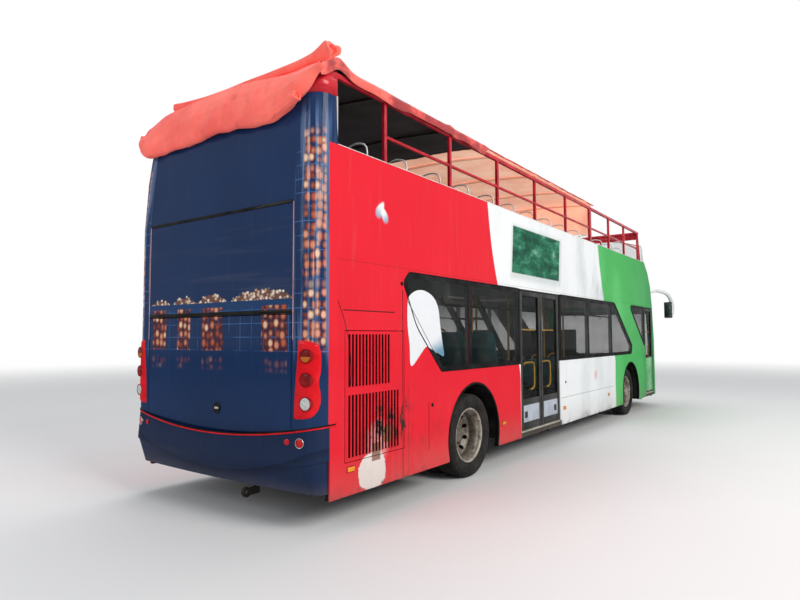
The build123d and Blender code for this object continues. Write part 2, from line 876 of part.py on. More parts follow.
# Side rails: posts on the parapets, a middle and a top rail, the longer post at the
# roof's front end, and the caps of the rear pillars. Posts: station, length along the bus.
rail_y = 1200
tube = 40
rail_tube = 50
posts = [
    (-1600, tube),
    (-400, tube),
    (770, tube),
    (1960, tube),
    (3180, tube),
    (4370, 90),
    (5460, tube),
    (6490, tube),
    (7560, tube),
]
post_foot_z = 3060
rail_start = -2330
top_rail_start = -2470
rail_end = 7620
mid_rail_size = (26, 30)
# The brace at the front of the rails: station and height
brace_line = [(7560, rail_z), (7610, rail_z), (7770, parapet_z + 4), (7730, parapet_z + 4)]
brace_width = 26
cap_height = rail_z - rail_tube / 2 - pillar_z
cap_half_gap = 1010
cap_gap = block((ahead(-2700), ahead(rear_joint)), (-cap_half_gap, cap_half_gap), (pillar_z, rail_z))
cap_outer, cap_inner = [
    extrude(tail_outline(*tail_sections[-1], inset), amount=cap_height) for inset in (0, wall)
]
with BuildPart() as side_rails:
    for side in (-1, 1):
        for station, length in posts:
            with Locations((ahead(station), side * rail_y, (post_foot_z + rail_z) / 2)):
                Box(length, tube, rail_z - post_foot_z)
        with Locations((ahead((rail_start + rail_end) / 2), side * rail_y, mid_rail_z)):
            Box(rail_end - rail_start, *mid_rail_size)
        with Locations((ahead((top_rail_start + rail_end) / 2), side * rail_y, rail_z)):
            Box(rail_end - top_rail_start, tube, rail_tube)
        with BuildSketch(Plane.XZ.offset(-side * rail_y)):
            Polygon(*[(ahead(station), height) for station, height in brace_line], align=None)
        extrude(amount=brace_width / 2, both=True)
    add(cap_outer - cap_inner - cap_gap)
side_rails.part.label = "side_rails"
export_step(side_rails.part, "parts/side_rails.step")

# Front guard: rails across the bus with a solid band under the top one
guard_x = ahead(7590)
guard_half = rail_y - tube / 2
guard_post_y = 400
strip = 30
band_z = 3740
band_depth = 6
with BuildPart() as front_guard:
    with Locations((guard_x, 0, rail_z)):
        Box(tube, 2 * guard_half, rail_tube)
    with Locations((guard_x, 0, band_z - strip / 2)):
        Box(strip, 2 * guard_half, strip)
    with Locations((guard_x, 0, (band_z + rail_z - rail_tube / 2) / 2)):
        Box(band_depth, 2 * guard_half, rail_z - rail_tube / 2 - band_z)
    for y in (-guard_post_y, guard_post_y):
        with Locations((guard_x, y, (deck_z + rail_z) / 2)):
            Box(tube, tube, rail_z - deck_z)
front_guard.part.label = "front_guard"
export_step(front_guard.part, "parts/front_guard.step")

# Roof bows: tubes across the bus on the top rails, arched to the crown
bow_stations = [-2300, -1600, -400, 770, 1960, 3180, 4370]
bow_rise = 75
bow_depth = 25
bow_width = 30
bow_z = rail_z + rail_tube / 2
with BuildPart() as roof_bows:
    for station in bow_stations:
        with BuildSketch(Plane.YZ.offset(ahead(station) - bow_width / 2)):
            with BuildLine():
                outer_z = bow_z + bow_depth
                Line((-1220, bow_z), (-1220, outer_z))
                ThreePointArc((-1220, outer_z), (0, outer_z + bow_rise), (1220, outer_z))
                Line((1220, outer_z), (1220, bow_z))
                ThreePointArc((1220, bow_z), (0, bow_z + bow_rise), (-1220, bow_z))
            make_face()
        extrude(amount=bow_width)
roof_bows.part.label = "roof_bows"
export_step(roof_bows.part, "parts/roof_bows.step")

# Roof fabric: a shallow arch on the bows with a band over each side rail, which flattens
# behind the last bow, a curtain that hangs from its front edge, and at the tail a roll of
# spare fabric and the flap that falls over the rear face
fabric = 14
fabric_y = 1242
rail_lap_y = 1220
hem_z = 3828
# Arch sections: station, height over the rails, rise to the crown
tail_edge = (-2552, 3862, 6)
last_bow = (-2330, bow_z + bow_depth, bow_rise)
fabric_end = 4440
curtain_half = 1172
curtain_foot_z = 3395
roll_radius = 70
roll_station = -2330
roll_z = 4075
roll_ends = (-1200, 1090)
# Flap outline on its own sloping plane: distance to the left, depth below its top
flap_line = [
    (-1215, 0),
    (1250, 0),
    (1275, 200),
    (1240, 400),
    (1060, 460),
    (-1060, 460),
    (-1190, 380),
    (-1235, 200),
]
flap_plane = Plane(
    origin=(ahead(tail_edge[0]), 0, tail_edge[1] + fabric),
    x_dir=(0, -1, 0),
    z_dir=(-0.96, 0, 0.28),
)


def fabric_section(station, rail_top, rise):
    """Section of the roof fabric across the bus, with a band down over each rail."""
    inner_y = fabric_y - fabric
    with BuildSketch(Plane.YZ.offset(ahead(station))) as section:
        with BuildLine():
            Polyline(
                (-rail_lap_y, rail_top),
                (-inner_y, rail_top - 2),
                (-inner_y, hem_z),
                (-fabric_y, hem_z),
                (-fabric_y, rail_top + 4),
            )
            ThreePointArc(
                (-fabric_y, rail_top + 4),
                (0, rail_top + rise + fabric),
                (fabric_y, rail_top + 4),
            )
            Polyline(
                (fabric_y, rail_top + 4),
                (fabric_y, hem_z),
                (inner_y, hem_z),
                (inner_y, rail_top - 2),
                (rail_lap_y, rail_top),
            )
            ThreePointArc((rail_lap_y, rail_top), (0, rail_top + rise), (-rail_lap_y, rail_top))
        make_face()
    return section.sketch


def arch_outline(station, half, foot, crown_lift):
    """An outline under the arch of the roof, from a straight foot."""
    rail_top = last_bow[1] + crown_lift
    with BuildSketch(Plane.YZ.offset(ahead(station))) as outline:
        with BuildLine():
            Polyline((-half, rail_top), (-half, foot), (half, foot), (half, rail_top))
            ThreePointArc((half, rail_top), (0, rail_top + bow_rise), (-half, rail_top))
        make_face()
    return outline.sketch


# The fold of fabric that carries the roll stands on the arch
roll_fold_line = [
    (roll_station - 60, last_bow[1]),
    (roll_station + 60, last_bow[1]),
    (roll_station + 60, roll_z),
    (roll_station, roll_z),
]
with BuildPart() as roll_fold:
    with BuildSketch(Plane.XZ.offset(-roll_ends[1])):
        Polygon(*[(ahead(station), height) for station, height in roll_fold_line], align=None)
    extrude(amount=roll_ends[1] - roll_ends[0])
    add(
        extrude(arch_outline(roll_station - 100, rail_lap_y, 3800, 6), amount=200),
        mode=Mode.SUBTRACT,
    )
with BuildPart() as roof_canopy:
    add(extrude(fabric_section(*last_bow), amount=fabric_end - last_bow[0]))
    add(loft([fabric_section(*tail_edge), fabric_section(*last_bow)], ruled=True))
    add(extrude(arch_outline(fabric_end, curtain_half, curtain_foot_z, 6), amount=-fabric))
    with Locations((ahead(roll_station), sum(roll_ends) / 2, roll_z)):
        Cylinder(roll_radius, roll_ends[1] - roll_ends[0], rotation=(90, 0, 0))
    add(roll_fold.part)
    with BuildSketch(flap_plane):
        Polygon(*[(-y, -depth) for y, depth in flap_line], align=None)
    extrude(amount=-fabric)
roof_canopy.part.label = "roof_canopy"
export_step(roof_canopy.part, "parts/roof_canopy.step")

# Upper seats: rows of twin shells on pedestals, each shell with a bright hand loop on top
seat_pitch = 648
upper_rows = 14
first_row = -1640
bench_y = 740
bench_width = 880
seat_profile = [
    (430, 445),
    (430, 400),
    (-20, 400),
    (-118, 880),
    (-73, 885),
    (15, 450),
]
loop_foot_z = 870
loop_bend_z = 985
loop_top_z = 1060
loop_half = 150
loop_tube = 24
loop_x = -107
seat_gap = 8
# Pedestal under a bench: size and middle of its beam, post and foot
pedestal = [
    ((300, bench_width - 60, 30), (190, 0, 385)),
    ((90, 60, 370), (190, 0, 185)),
    ((260, 160, 12), (190, 0, 6)),
]


def bench(loops):
    """A twin seat facing forward, its origin on the floor under the back's foot."""
    single = bench_width / 2
    with BuildPart() as pair:
        for y in (-single / 2, single / 2):
            with BuildSketch(Plane.XZ.offset(-y)):
                Polygon(*seat_profile, align=None)
            extrude(amount=single / 2 - seat_gap, both=True)
        for size, middle in pedestal:
            with Locations(middle):
                Box(*size)
        if loops:
            for y in (-single / 2, single / 2):
                inner_half = loop_half - loop_tube
                with BuildSketch(Plane.YZ.offset(loop_x)):
                    with BuildLine():
                        Line((y - loop_half, loop_foot_z), (y - loop_half, loop_bend_z))
                        ThreePointArc(
                            (y - loop_half, loop_bend_z),
                            (y, loop_top_z),
                            (y + loop_half, loop_bend_z),
                        )
                        Polyline(
                            (y + loop_half, loop_bend_z),
                            (y + loop_half, loop_foot_z),
                            (y + inner_half, loop_foot_z),
                            (y + inner_half, loop_bend_z),
                        )
                        ThreePointArc(
                            (y + inner_half, loop_bend_z),
                            (y, loop_top_z - loop_tube),
                            (y - inner_half, loop_bend_z),
                        )
                        Line((y - inner_half, loop_bend_z), (y - inner_half, loop_foot_z))
                        Line((y - inner_half, loop_foot_z), (y - loop_half, loop_foot_z))
                    make_face()
                extrude(amount=loop_tube - 2)
    return pair.part


looped_bench = bench(True)
with BuildPart() as upper_seats:
    for row in range(upper_rows):
        station = first_row + row * seat_pitch
        for side in (-1, 1):
            over_stairs = side == 1 and stair_well[0][0] - 450 < station < stair_well[0][1] + 150
            if not over_stairs:
                with Locations((ahead(station), side * bench_y, deck_z)):
                    add(looped_bench)
upper_seats.part.label = "upper_seats"
export_step(upper_seats.part, "parts/upper_seats.step")

# Lower seats: station, side and floor height of each bench
lower_rows = [
    (-1180, -1, platform_z),
    (770, -1, platform_z),
    (3200, -1, floor_z),
    (3950, -1, floor_z),
    (4700, -1, floor_z),
    (-1180, 1, platform_z),
    (770, 1, platform_z),
    (1450, 1, floor_z),
    (2200, 1, floor_z),
]
plain_bench = bench(False)
with BuildPart() as lower_seats:
    for station, side, foot_z in lower_rows:
        with Locations((ahead(station), side * bench_y, foot_z)):
            add(plain_bench)
lower_seats.part.label = "lower_seats"
export_step(lower_seats.part, "parts/lower_seats.step")

# Grab poles from floor to ceiling: station, y, foot height
pole_places = [
    (1226, -560, floor_z),
    (2720, -560, floor_z),
    (3000, -260, floor_z),
    (4500, -260, floor_z),
    (5500, -260, floor_z),
    (1300, 280, floor_z),
    (2900, 280, floor_z),
]
pole_radius = 17
with BuildPart() as grab_poles:
    for station, y, foot_z in pole_places:
        with Locations((ahead(station), y, (foot_z + ceiling_z) / 2)):
            Cylinder(pole_radius, ceiling_z - foot_z)
grab_poles.part.label = "grab_poles"
export_step(grab_poles.part, "parts/grab_poles.step")

# Stairs on the left, rising towards the tail to the well in the upper deck
step_count = 9
step_rise = (deck_z - floor_z) / step_count
step_going = 240
stairs_foot = 5200
stair_y = (stair_well[1][0] + 20, stair_well[1][1] - 20)
string_depth = 25
start_x = ahead(stairs_foot)
top_x = start_x - (step_count - 1) * step_going
string_line = [
    (start_x, floor_z),
    (start_x + 40, floor_z),
    (start_x + 40, floor_z + step_rise),
    (top_x + 40, deck_z - 4),
    (top_x - 90, deck_z - 90),
]
with BuildPart() as staircase:
    for y, depth in ((stair_y[0], -string_depth), (stair_y[1], string_depth)):
        with BuildSketch(Plane.XZ.offset(-y)):
            Polygon(*string_line, align=None)
        extrude(amount=depth)
    for step in range(1, step_count):
        step_x = start_x + 20 - (step - 0.5) * step_going
        with Locations((step_x, sum(stair_y) / 2, floor_z + step * step_rise - 15)):
            Box(step_going + 20, stair_y[1] - stair_y[0], 30)
staircase.part.label = "staircase"
export_step(staircase.part, "parts/staircase.step")

# Driver's place: the dash, the steering column and wheel, the seat and the cab screen
cab_y = 620
dash_line = [
    (8480, floor_z),
    (8860, floor_z),
    (8860, 960),
    (8600, 1060),
    (8420, 1010),
    (8420, 930),
    (8520, 880),
]
dash_y = (100, 1180)
hand_wheel = (ahead(8330), cab_y, 1060)
wheel_outer = 235
wheel_inner = 212
wheel_depth = 24
spoke = 34
column_radius = 28
column_length = 330
driver_seat_station = 7480
driver_seat_lift = 90
driver_seat_half = 250
seat_base_size = (300, 360, 500)
screen_size = (30, 1080, 1400)
with BuildPart() as driver_station:
    with BuildSketch(Plane.XZ.offset(-dash_y[1])):
        Polygon(*[(ahead(station), height) for station, height in dash_line], align=None)
    extrude(amount=dash_y[1] - dash_y[0])
    add(nose_fit, mode=Mode.INTERSECT)
    with BuildSketch(Plane(origin=hand_wheel, z_dir=(-1, 0, 1.6))):
        Circle(wheel_outer)
        Circle(wheel_inner, mode=Mode.SUBTRACT)
        Rectangle(2 * wheel_inner + 6, spoke)
    extrude(amount=wheel_depth)
    with Locations(Plane(origin=hand_wheel, z_dir=(1, 0, -1.6))):
        Cylinder(column_radius, column_length, align=(Align.CENTER, Align.CENTER, Align.MIN))
    with BuildSketch(Plane.XZ.offset(-cab_y - driver_seat_half)):
        Polygon(
            *[
                (ahead(driver_seat_station) + x, floor_z + z + driver_seat_lift)
                for x, z in seat_profile
            ],
            align=None,
        )
    extrude(amount=2 * driver_seat_half)
    with Locations((ahead(driver_seat_station + 200), cab_y, floor_z + seat_base_size[2] / 2)):
        Box(*seat_base_size)
    with Locations((ahead(7250), cab_y + 20, floor_z + screen_size[2] / 2)):
        Box(*screen_size)
driver_station.part.label = "driver_station"
export_step(driver_station.part, "parts/driver_station.step")

# Mirrors: an arm curving forward, outward and down from each corner of the nose to its head.
# Arm: station, y and height along it.
arm_line = [(8573, 1100, 2560), (8933, 1290, 2690), (9373, 1420, 2650), (9563, 1450, 2400)]
arm_radius = 28
head_station = 9510
head_y = 1440
head_z = 2215
head_size = (100, 200, 400)
with BuildPart() as mirrors:
    for side in (-1, 1):
        with BuildLine() as arm:
            Spline(*[(ahead(station), side * y, height) for station, y, height in arm_line])
        with BuildSketch(arm.line ^ 0):
            Circle(arm_radius)
        sweep(path=arm.line)
    add(nose_filled, mode=Mode.SUBTRACT)
    for side in (-1, 1):
        with Locations((ahead(head_station), side * head_y, head_z)):
            Box(*head_size)
    fillet(mirrors.edges().filter_by(Axis.Z).filter_by(lambda edge: edge.length > 390), 45)
mirrors.part.label = "mirrors"
export_step(mirrors.part, "parts/mirrors.step")

# Lamps: tail clusters that wrap round the corner pillars, fog lamps through the bumper and
# headlamps. Clusters and headlamps are skins on the body that stand out by lamp_stand.
lamp_stand = 12
cluster_heights = (930, 1565)
cluster_y = (1060, 1300)
cluster_front = -2530
headlamp_heights = (640, 840)
headlamp_y = (790, 1130)
tail_lamp_y = 1187
tail_lamp_radius = 58
tail_lamp_heights = (1060, 1250, 1440)
fog_lamp_length = 90


def mirrored_block(x_range, y_range, z_range):
    """Two blocks, one on each side of the bus."""
    low_y, high_y = y_range
    return block(x_range, y_range, z_range) + block(x_range, (-high_y, -low_y), z_range)


tail_skin = tail_solid(-lamp_stand) - tail_filled
nose_skin = nose_solid(-lamp_stand) - nose_filled
cluster_space = mirrored_block((ahead(-2700), ahead(cluster_front)), cluster_y, cluster_heights)
headlamp_space = mirrored_block((ahead(8640), ahead(9200)), headlamp_y, headlamp_heights)
with BuildPart() as lamps:
    add(tail_skin & cluster_space)
    add(nose_skin & headlamp_space)
    for side in (-1, 1):
        for height in tail_lamp_heights:
            with Locations((ahead(tail) - lamp_stand - 4, side * tail_lamp_y, height)):
                Cylinder(
                    tail_lamp_radius,
                    60,
                    rotation=(0, 90, 0),
                    align=(Align.CENTER, Align.CENTER, Align.MIN),
                )
    add(tail_filled, mode=Mode.SUBTRACT)
    for side in (-1, 1):
        with Locations((ahead(tail - 15), side * fog_lamp_y, fog_lamp_z)):
            Cylinder(fog_lamp_radius - 1, fog_lamp_length, rotation=(0, 90, 0))
lamps.part.label = "lamps"
export_step(lamps.part, "parts/lamps.step")

# Towing eyes on the right chassis member: the front one on a bar, the rear one on a plate
# that hangs from the rear frame. Eyes: station, height, and the rectangles that carry it as
# near and far station, foot and head.
eye_bore = 21
eye_outer = 44
eyes = [
    (8700, 240, [(frame_front, 8700, 210, 270)]),
    (-2560, 250, [(-2560, -2420, 220, 280), (-2460, -2420, 220, platform_z - floor_depth)]),
]
with BuildPart() as tow_eyes:
    for station, eye_z, bars in eyes:
        with BuildSketch(Plane.XZ.offset(member_y)):
            with Locations((ahead(station), eye_z)):
                Circle(eye_outer)
            for start, end, foot, head in bars:
                with Locations((ahead((start + end) / 2), (foot + head) / 2)):
                    Rectangle(end - start, head - foot)
            with Locations((ahead(station), eye_z)):
                Circle(eye_bore, mode=Mode.SUBTRACT)
        extrude(amount=15, both=True)
tow_eyes.part.label = "tow_eyes"
export_step(tow_eyes.part, "parts/tow_eyes.step")
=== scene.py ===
import math
from functools import reduce

import bmesh
import bpy
from mathutils import Matrix, Vector, noise


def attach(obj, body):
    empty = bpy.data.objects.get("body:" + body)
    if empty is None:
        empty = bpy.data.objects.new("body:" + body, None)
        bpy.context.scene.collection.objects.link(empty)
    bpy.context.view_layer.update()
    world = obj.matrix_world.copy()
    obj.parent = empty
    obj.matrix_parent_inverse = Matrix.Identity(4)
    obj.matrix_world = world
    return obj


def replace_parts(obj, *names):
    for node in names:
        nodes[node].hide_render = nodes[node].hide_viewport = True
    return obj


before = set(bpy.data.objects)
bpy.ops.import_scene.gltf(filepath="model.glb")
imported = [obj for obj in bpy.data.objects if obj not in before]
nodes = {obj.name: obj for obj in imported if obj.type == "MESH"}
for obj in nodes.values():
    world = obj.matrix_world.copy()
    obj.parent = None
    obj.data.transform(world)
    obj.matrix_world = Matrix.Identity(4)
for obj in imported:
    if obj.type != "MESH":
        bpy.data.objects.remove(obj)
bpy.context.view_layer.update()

# Metres, X forward, Y to the left, Z up. Stations are lengths ahead of the rear axle.
REAR_AXLE = -3.45
FRONT_AXLE = 3.05
AXLE_Z = 0.468
HALF = 1.275
SKIRT_Z = 0.27
BELT_Z = 1.23
HEAD_Z = 2.22
DECK_Z = 2.39
PARAPET_Z = 3.217
MID_RAIL_Z = 3.5
RAIL_Y = 1.2
RAIL_Z = 3.85
TAIL = -2.62
TAIL_BEND = 1.115
TAIL_RADIUS = 0.16
FLOOR_Z = 0.34
PLATFORM_Z = 0.76
HEAP_Z = 1.900


def at(station):
    """X of a station."""
    return REAR_AXLE + station


# ---- materials


class Signal:
    """An output socket of a material. Arithmetic on it adds Math nodes."""

    def __init__(self, paint, socket):
        self.paint = paint
        self.socket = socket

    def __add__(self, other):
        return self.paint.math("ADD", self, other)

    def __sub__(self, other):
        return self.paint.math("SUBTRACT", self, other)

    def __rsub__(self, other):
        return self.paint.math("SUBTRACT", other, self)

    def __mul__(self, other):
        return self.paint.math("MULTIPLY", self, other)

    __rmul__ = __mul__

    def __truediv__(self, other):
        return self.paint.math("DIVIDE", self, other)

    def __pow__(self, other):
        return self.paint.math("POWER", self, other)

    def __neg__(self):
        return self.paint.math("MULTIPLY", self, -1.0)

    def __abs__(self):
        return self.paint.math("ABSOLUTE", self)

    def wrap(self, period):
        """This signal repeated from 0 up to the period."""
        return self.paint.math("WRAP", self, period, 0.0)

    def most(self, other):
        """The greater of the two."""
        return self.paint.math("MAXIMUM", self, other)


class Paint:
    """Builds one procedural material from the object's own coordinates, in metres."""

    def __init__(self, name):
        self.material = bpy.data.materials.new(name)
        self.material.use_nodes = True
        self.tree = self.material.node_tree
        self.tree.nodes.clear()
        self.place = self.node("TexCoord", out="Object")
        separate = self.tree.nodes.new("ShaderNodeSeparateXYZ")
        self.tree.links.new(self.place.socket, separate.inputs[0])
        self.x, self.y, self.z = [Signal(self, socket) for socket in separate.outputs]
        self.station = self.x - REAR_AXLE

    def node(self, kind, inputs=None, out=0, **settings):
        """Adds a node, sets or links its inputs, and gives one output."""
        made = self.tree.nodes.new("ShaderNode" + kind)
        for key, value in settings.items():
            setattr(made, key, value)
        for key, value in (inputs or {}).items():
            if isinstance(value, Signal):
                self.tree.links.new(value.socket, made.inputs[key])
            else:
                made.inputs[key].default_value = value
        return Signal(self, made.outputs[out])

    def math(self, operation, *terms):
        """A Math node on signals and numbers."""
        return self.node("Math", dict(enumerate(terms)), operation=operation)

    def spot(self, x, y, z):
        """A vector from three signals or numbers."""
        return self.node("CombineXYZ", {0: x, 1: y, 2: z})

    def noise(self, scale, detail=3.0, rough=0.55, where=None, stretch=None):
        """Soft noise from 0 to 1. stretch multiplies its frequency along each axis."""
        where = where or self.place
        if stretch:
            where = self.node("Mapping", {"Vector": where, "Scale": stretch})
        return self.node(
            "TexNoise",
            {"Vector": where, "Scale": scale, "Detail": detail, "Roughness": rough},
        )

    def cells(self, scale, where=None, randomness=1.0, out="Distance"):
        """Cells round scattered points: the distance to the nearest one, or its colour."""
        inputs = {"Vector": where or self.place, "Scale": scale, "Randomness": randomness}
        return self.node("TexVoronoi", inputs, out=out)

    def ease(self, value, low, high):
        """0 below low, 1 above high, smooth between. low may be above high."""
        return self.node(
            "MapRange",
            {"Value": value, "From Min": low, "From Max": high},
            interpolation_type="SMOOTHSTEP",
        )

    def band(self, value, low, high, soft):
        """1 between low and high with soft edges."""
        return self.ease(value, low - soft, low + soft) * self.ease(value, high + soft, high - soft)

    def line(self, value, centre, width):
        """1 on a thin line, 0 beside it."""
        return self.ease(abs(value - centre), width * 0.75, width * 0.35)

    def mix(self, factor, a, b):
        """Colour a where the factor is 0 and b where it is 1."""
        return self.node("Mix", {0: factor, 6: rgba(a), 7: rgba(b)}, out=2, data_type="RGBA")

    def ramp(self, value, *stops):
        """Colour ramp through (position, colour) stops."""
        made = self.tree.nodes.new("ShaderNodeValToRGB")
        self.tree.links.new(value.socket, made.inputs[0])
        ramp = made.color_ramp
        while len(ramp.elements) < len(stops):
            ramp.elements.new(0.5)
        for element, (position, colour) in zip(ramp.elements, stops):
            element.position = position
            element.color = rgba(colour)
        return Signal(self, made.outputs[0])

    def track(self, value, low, high, top, points):
        """A curve through (value, result) points, for values from low to high, results 0 to top."""
        made = self.tree.nodes.new("ShaderNodeFloatCurve")
        scaled = (value - low) / (high - low)
        self.tree.links.new(scaled.socket, made.inputs["Value"])
        curve = made.mapping.curves[0]
        knots = [((a - low) / (high - low), b / top) for a, b in points]
        curve.points[0].location = knots[0]
        curve.points[1].location = knots[-1]
        for knot in knots[1:-1]:
            curve.points.new(*knot)
        made.mapping.update()
        return Signal(self, made.outputs[0]) * top

    def bump(self, height, distance, strength=1.0, after=None):
        """A normal that a height bumps, on top of the normal given as after."""
        inputs = {"Height": height, "Distance": distance, "Strength": strength}
        if after:
            inputs["Normal"] = after
        return self.node("Bump", inputs)

    def finish(self, colour, roughness=0.5, bump=None, alpha=None, glow=None, **fixed):
        """The shader. Signals feed its sockets, and the numbers in fixed sit on them."""
        shader = self.tree.nodes.new("ShaderNodeBsdfPrincipled")
        varied = {
            "Base Color": colour,
            "Roughness": roughness,
            "Normal": bump,
            "Alpha": alpha,
            "Emission Color": glow,
        }
        for key, value in varied.items():
            if isinstance(value, Signal):
                self.tree.links.new(value.socket, shader.inputs[key])
            elif value is not None:
                number = key in ("Roughness", "Alpha")
                shader.inputs[key].default_value = value if number else rgba(value)
        for key, value in fixed.items():
            shader.inputs[key.replace("_", " ").title().replace("Ior", "IOR")].default_value = value
        output = self.tree.nodes.new("ShaderNodeOutputMaterial")
        self.tree.links.new(shader.outputs[0], output.inputs[0])
        return self.material


def rgba(colour):
    """A colour for a socket: signals as they are, numbers with alpha 1."""
    if isinstance(colour, Signal) or len(colour) == 4:
        return colour
    return (*colour, 1.0)


RED = (0.74, 0.016, 0.030)
DARK = (0.012, 0.012, 0.013)


def worn_film(paint, base, dirt_height=0.7, run=0.10):
    """Shared wear of the printed film: dust low down, faint streaks, slack and orange peel."""
    dust = paint.ease(paint.z, dirt_height, 0.2) * paint.noise(2.6, 5, 0.65)
    streaks = paint.noise(3.0, 4, 0.6, stretch=(7.0, 7.0, 0.5))
    faded = paint.mix(paint.ease(streaks, 0.52, 0.8) * run, base, (0.26, 0.23, 0.21))
    colour = paint.mix(dust * 0.5, faded, (0.27, 0.22, 0.18))
    roughness = paint.ease(paint.noise(5.0, 4, 0.6), 0.3, 0.8) * 0.10 + 0.20 + dust * 0.35
    peel = paint.noise(230.0, 2, 0.5)
    waves = paint.noise(1.5, 2, 0.5, stretch=(1.0, 1.0, 0.7))
    bump = paint.bump(waves, 0.014, 0.35, paint.bump(peel, 0.0005, 0.25))
    return colour, roughness, bump


def petal(paint, station, height, length, width, tilt):
    """1 inside a rounded leaf shape on the side of the bus, and how far up its length."""
    across = paint.station - station
    up = paint.z - height
    along = across * math.sin(tilt) + up * math.cos(tilt)
    beside = across * math.cos(tilt) - up * math.sin(tilt)
    share = along / length
    swell = beside / (width * (1.0 - share * 0.35))
    away = (share * share + swell * swell) ** 0.5
    soft = 0.012 / width
    return paint.ease(away, 1.0 + soft, 1.0 - soft), share


def side_wrap(name, inside=None, lined=True):
    """The printed film on the sides and nose: red, white and green fields with slanting
    edges, pale leaf shapes on the red and a dark green picture without a subject on the
    white. Behind the depth given as inside, the panel's own lining shows."""
    paint = Paint(name)
    s, y, z = paint.station, paint.y, paint.z
    red_end = paint.track(
        z, 0.0, 4.0, 8.0,
        [(0, 1.23), (0.76, 1.23), (1.20, 1.20), (2.22, 0.61), (3.2, 0.36), (4.0, 0.30)]
    )
    green_start = paint.track(
        z, 0.0, 4.0, 8.0,
        [(0, 5.44), (0.76, 5.45), (1.20, 5.45), (2.24, 4.86), (3.28, 4.53), (4.0, 4.45)]
    )
    right = paint.ease(y, 1.0, 0.9)
    shade = paint.noise(0.55, 3, 0.5)
    red = paint.mix(shade, (0.62, 0.012, 0.024), (0.82, 0.022, 0.040))
    folds = paint.noise(1.1, 4, 0.6, stretch=(1.0, 1.0, 0.45))
    near_green = paint.ease(s, 2.8, 4.6) * paint.ease(z, 1.6, 2.6)
    white = paint.mix(
        paint.ease(folds, 0.46, 0.70) * (near_green * 0.6 + 0.25),
        (0.80, 0.82, 0.83),
        (0.38, 0.43, 0.47),
    )
    # Painted shade: the green darkens towards the curved nose
    deep = paint.ease(s, 6.2, 8.6) * 0.6
    leafy = paint.mix(
        paint.ease(paint.noise(0.8, 3, 0.5), 0.35, 0.70), (0.062, 0.42, 0.100), (0.105, 0.53, 0.150)
    )
    green = paint.mix(deep, leafy, (0.02, 0.22, 0.07))
    base = paint.mix(paint.ease(s - red_end, -0.010, 0.010), red, white)
    base = paint.mix(paint.ease(s - green_start + (folds - 0.5) * 0.10, -0.03, 0.03), base, green)
    # Dark green picture of soft waves with a pale foot
    swirl = paint.noise(2.4, 5, 0.65, stretch=(1.0, 1.0, 2.2))
    picture = paint.ramp(
        swirl, (0.36, (0.004, 0.045, 0.030)), (0.50, (0.012, 0.12, 0.065)),
        (0.60, (0.05, 0.24, 0.14)), (0.72, (0.45, 0.55, 0.50))
    )
    frame_s = s - (z - 2.7) * 0.10
    panel = paint.band(frame_s, 1.04, 2.68, 0.008) * paint.band(z, 2.42, 3.04, 0.008)
    shadow = paint.band(frame_s, 1.00, 2.76, 0.05) * paint.band(z, 2.34, 3.06, 0.05)
    base = paint.mix(shadow * right * 0.35, base, (0.25, 0.33, 0.30))
    base = paint.mix(panel * right, base, picture)
    # Two pale leaves on the parapet, and a faint pink patch low on the white
    for station, height, length, width, tilt in (
        (-1.76, 2.76, 0.085, 0.045, 0.6),
        (-1.70, 2.72, 0.075, 0.040, -0.5),
    ):
        leaf, share = petal(paint, station, height, length, width, tilt)
        tint = paint.mix(paint.ease(share, 0.3, -0.8), (0.78, 0.80, 0.81), (0.30, 0.42, 0.55))
        base = paint.mix(leaf * right, base, tint)
    fade = paint.ease(((s - 4.30) ** 2 + (z - 0.93) ** 2) ** 0.5 + (folds - 0.5) * 0.2, 0.13, 0.03)
    base = paint.mix(fade * right * 0.55, base, (0.72, 0.20, 0.20))
    # The glass line runs on as a black strip beside the doors
    strip = (
        paint.band(s, 1.19, 1.25, 0.002).most(paint.band(s, 2.61, 2.67, 0.002))
        * paint.band(z, 1.225, 2.222, 0.002)
    )
    skirt = (
        paint.band(s, 1.235, 2.665, 0.002).most(paint.band(s, 7.69, 8.39, 0.002))
        * paint.ease(z, 0.346, 0.344)
    )
    base = paint.mix(strip.most(skirt) * right, base, DARK)
    # Panel joints
    joints = paint.line(s, -1.415, 0.010) * paint.ease(z, 2.05, 2.03)
    joints = joints.most(paint.line(z, 1.82, 0.009) * paint.band(s, -2.27, -1.54, 0.004))
    joints = joints.most(paint.line(s, -0.965, 0.009) * paint.band(z, 0.46, 0.93, 0.004))
    joints = joints.most(paint.line(s, -1.33, 0.007) * paint.ease(z, 1.12, 1.10) * 0.6)
    arc = ((s + 3.30) ** 2 + (z - 1.30) ** 2) ** 0.5
    joints = joints.most(paint.line(arc, 1.13, 0.008) * paint.band(z, 1.18, 2.22, 0.01))
    joints = joints.most(paint.line(z, 0.665, 0.008) * paint.band(s, 2.66, 5.35, 0.01) * 0.55)
    for station in (3.95, 5.37, 7.05):
        joints = joints.most(paint.line(s, station, 0.005) * paint.ease(z, 1.22, 1.20) * 0.35)
    for station in (-0.4, 1.96, 4.37, 6.49):
        joints = joints.most(paint.line(s, station, 0.004) * paint.ease(z, 2.24, 2.26) * 0.35)
    joints = joints.most(paint.line(z, 2.248, 0.005) * 0.35)
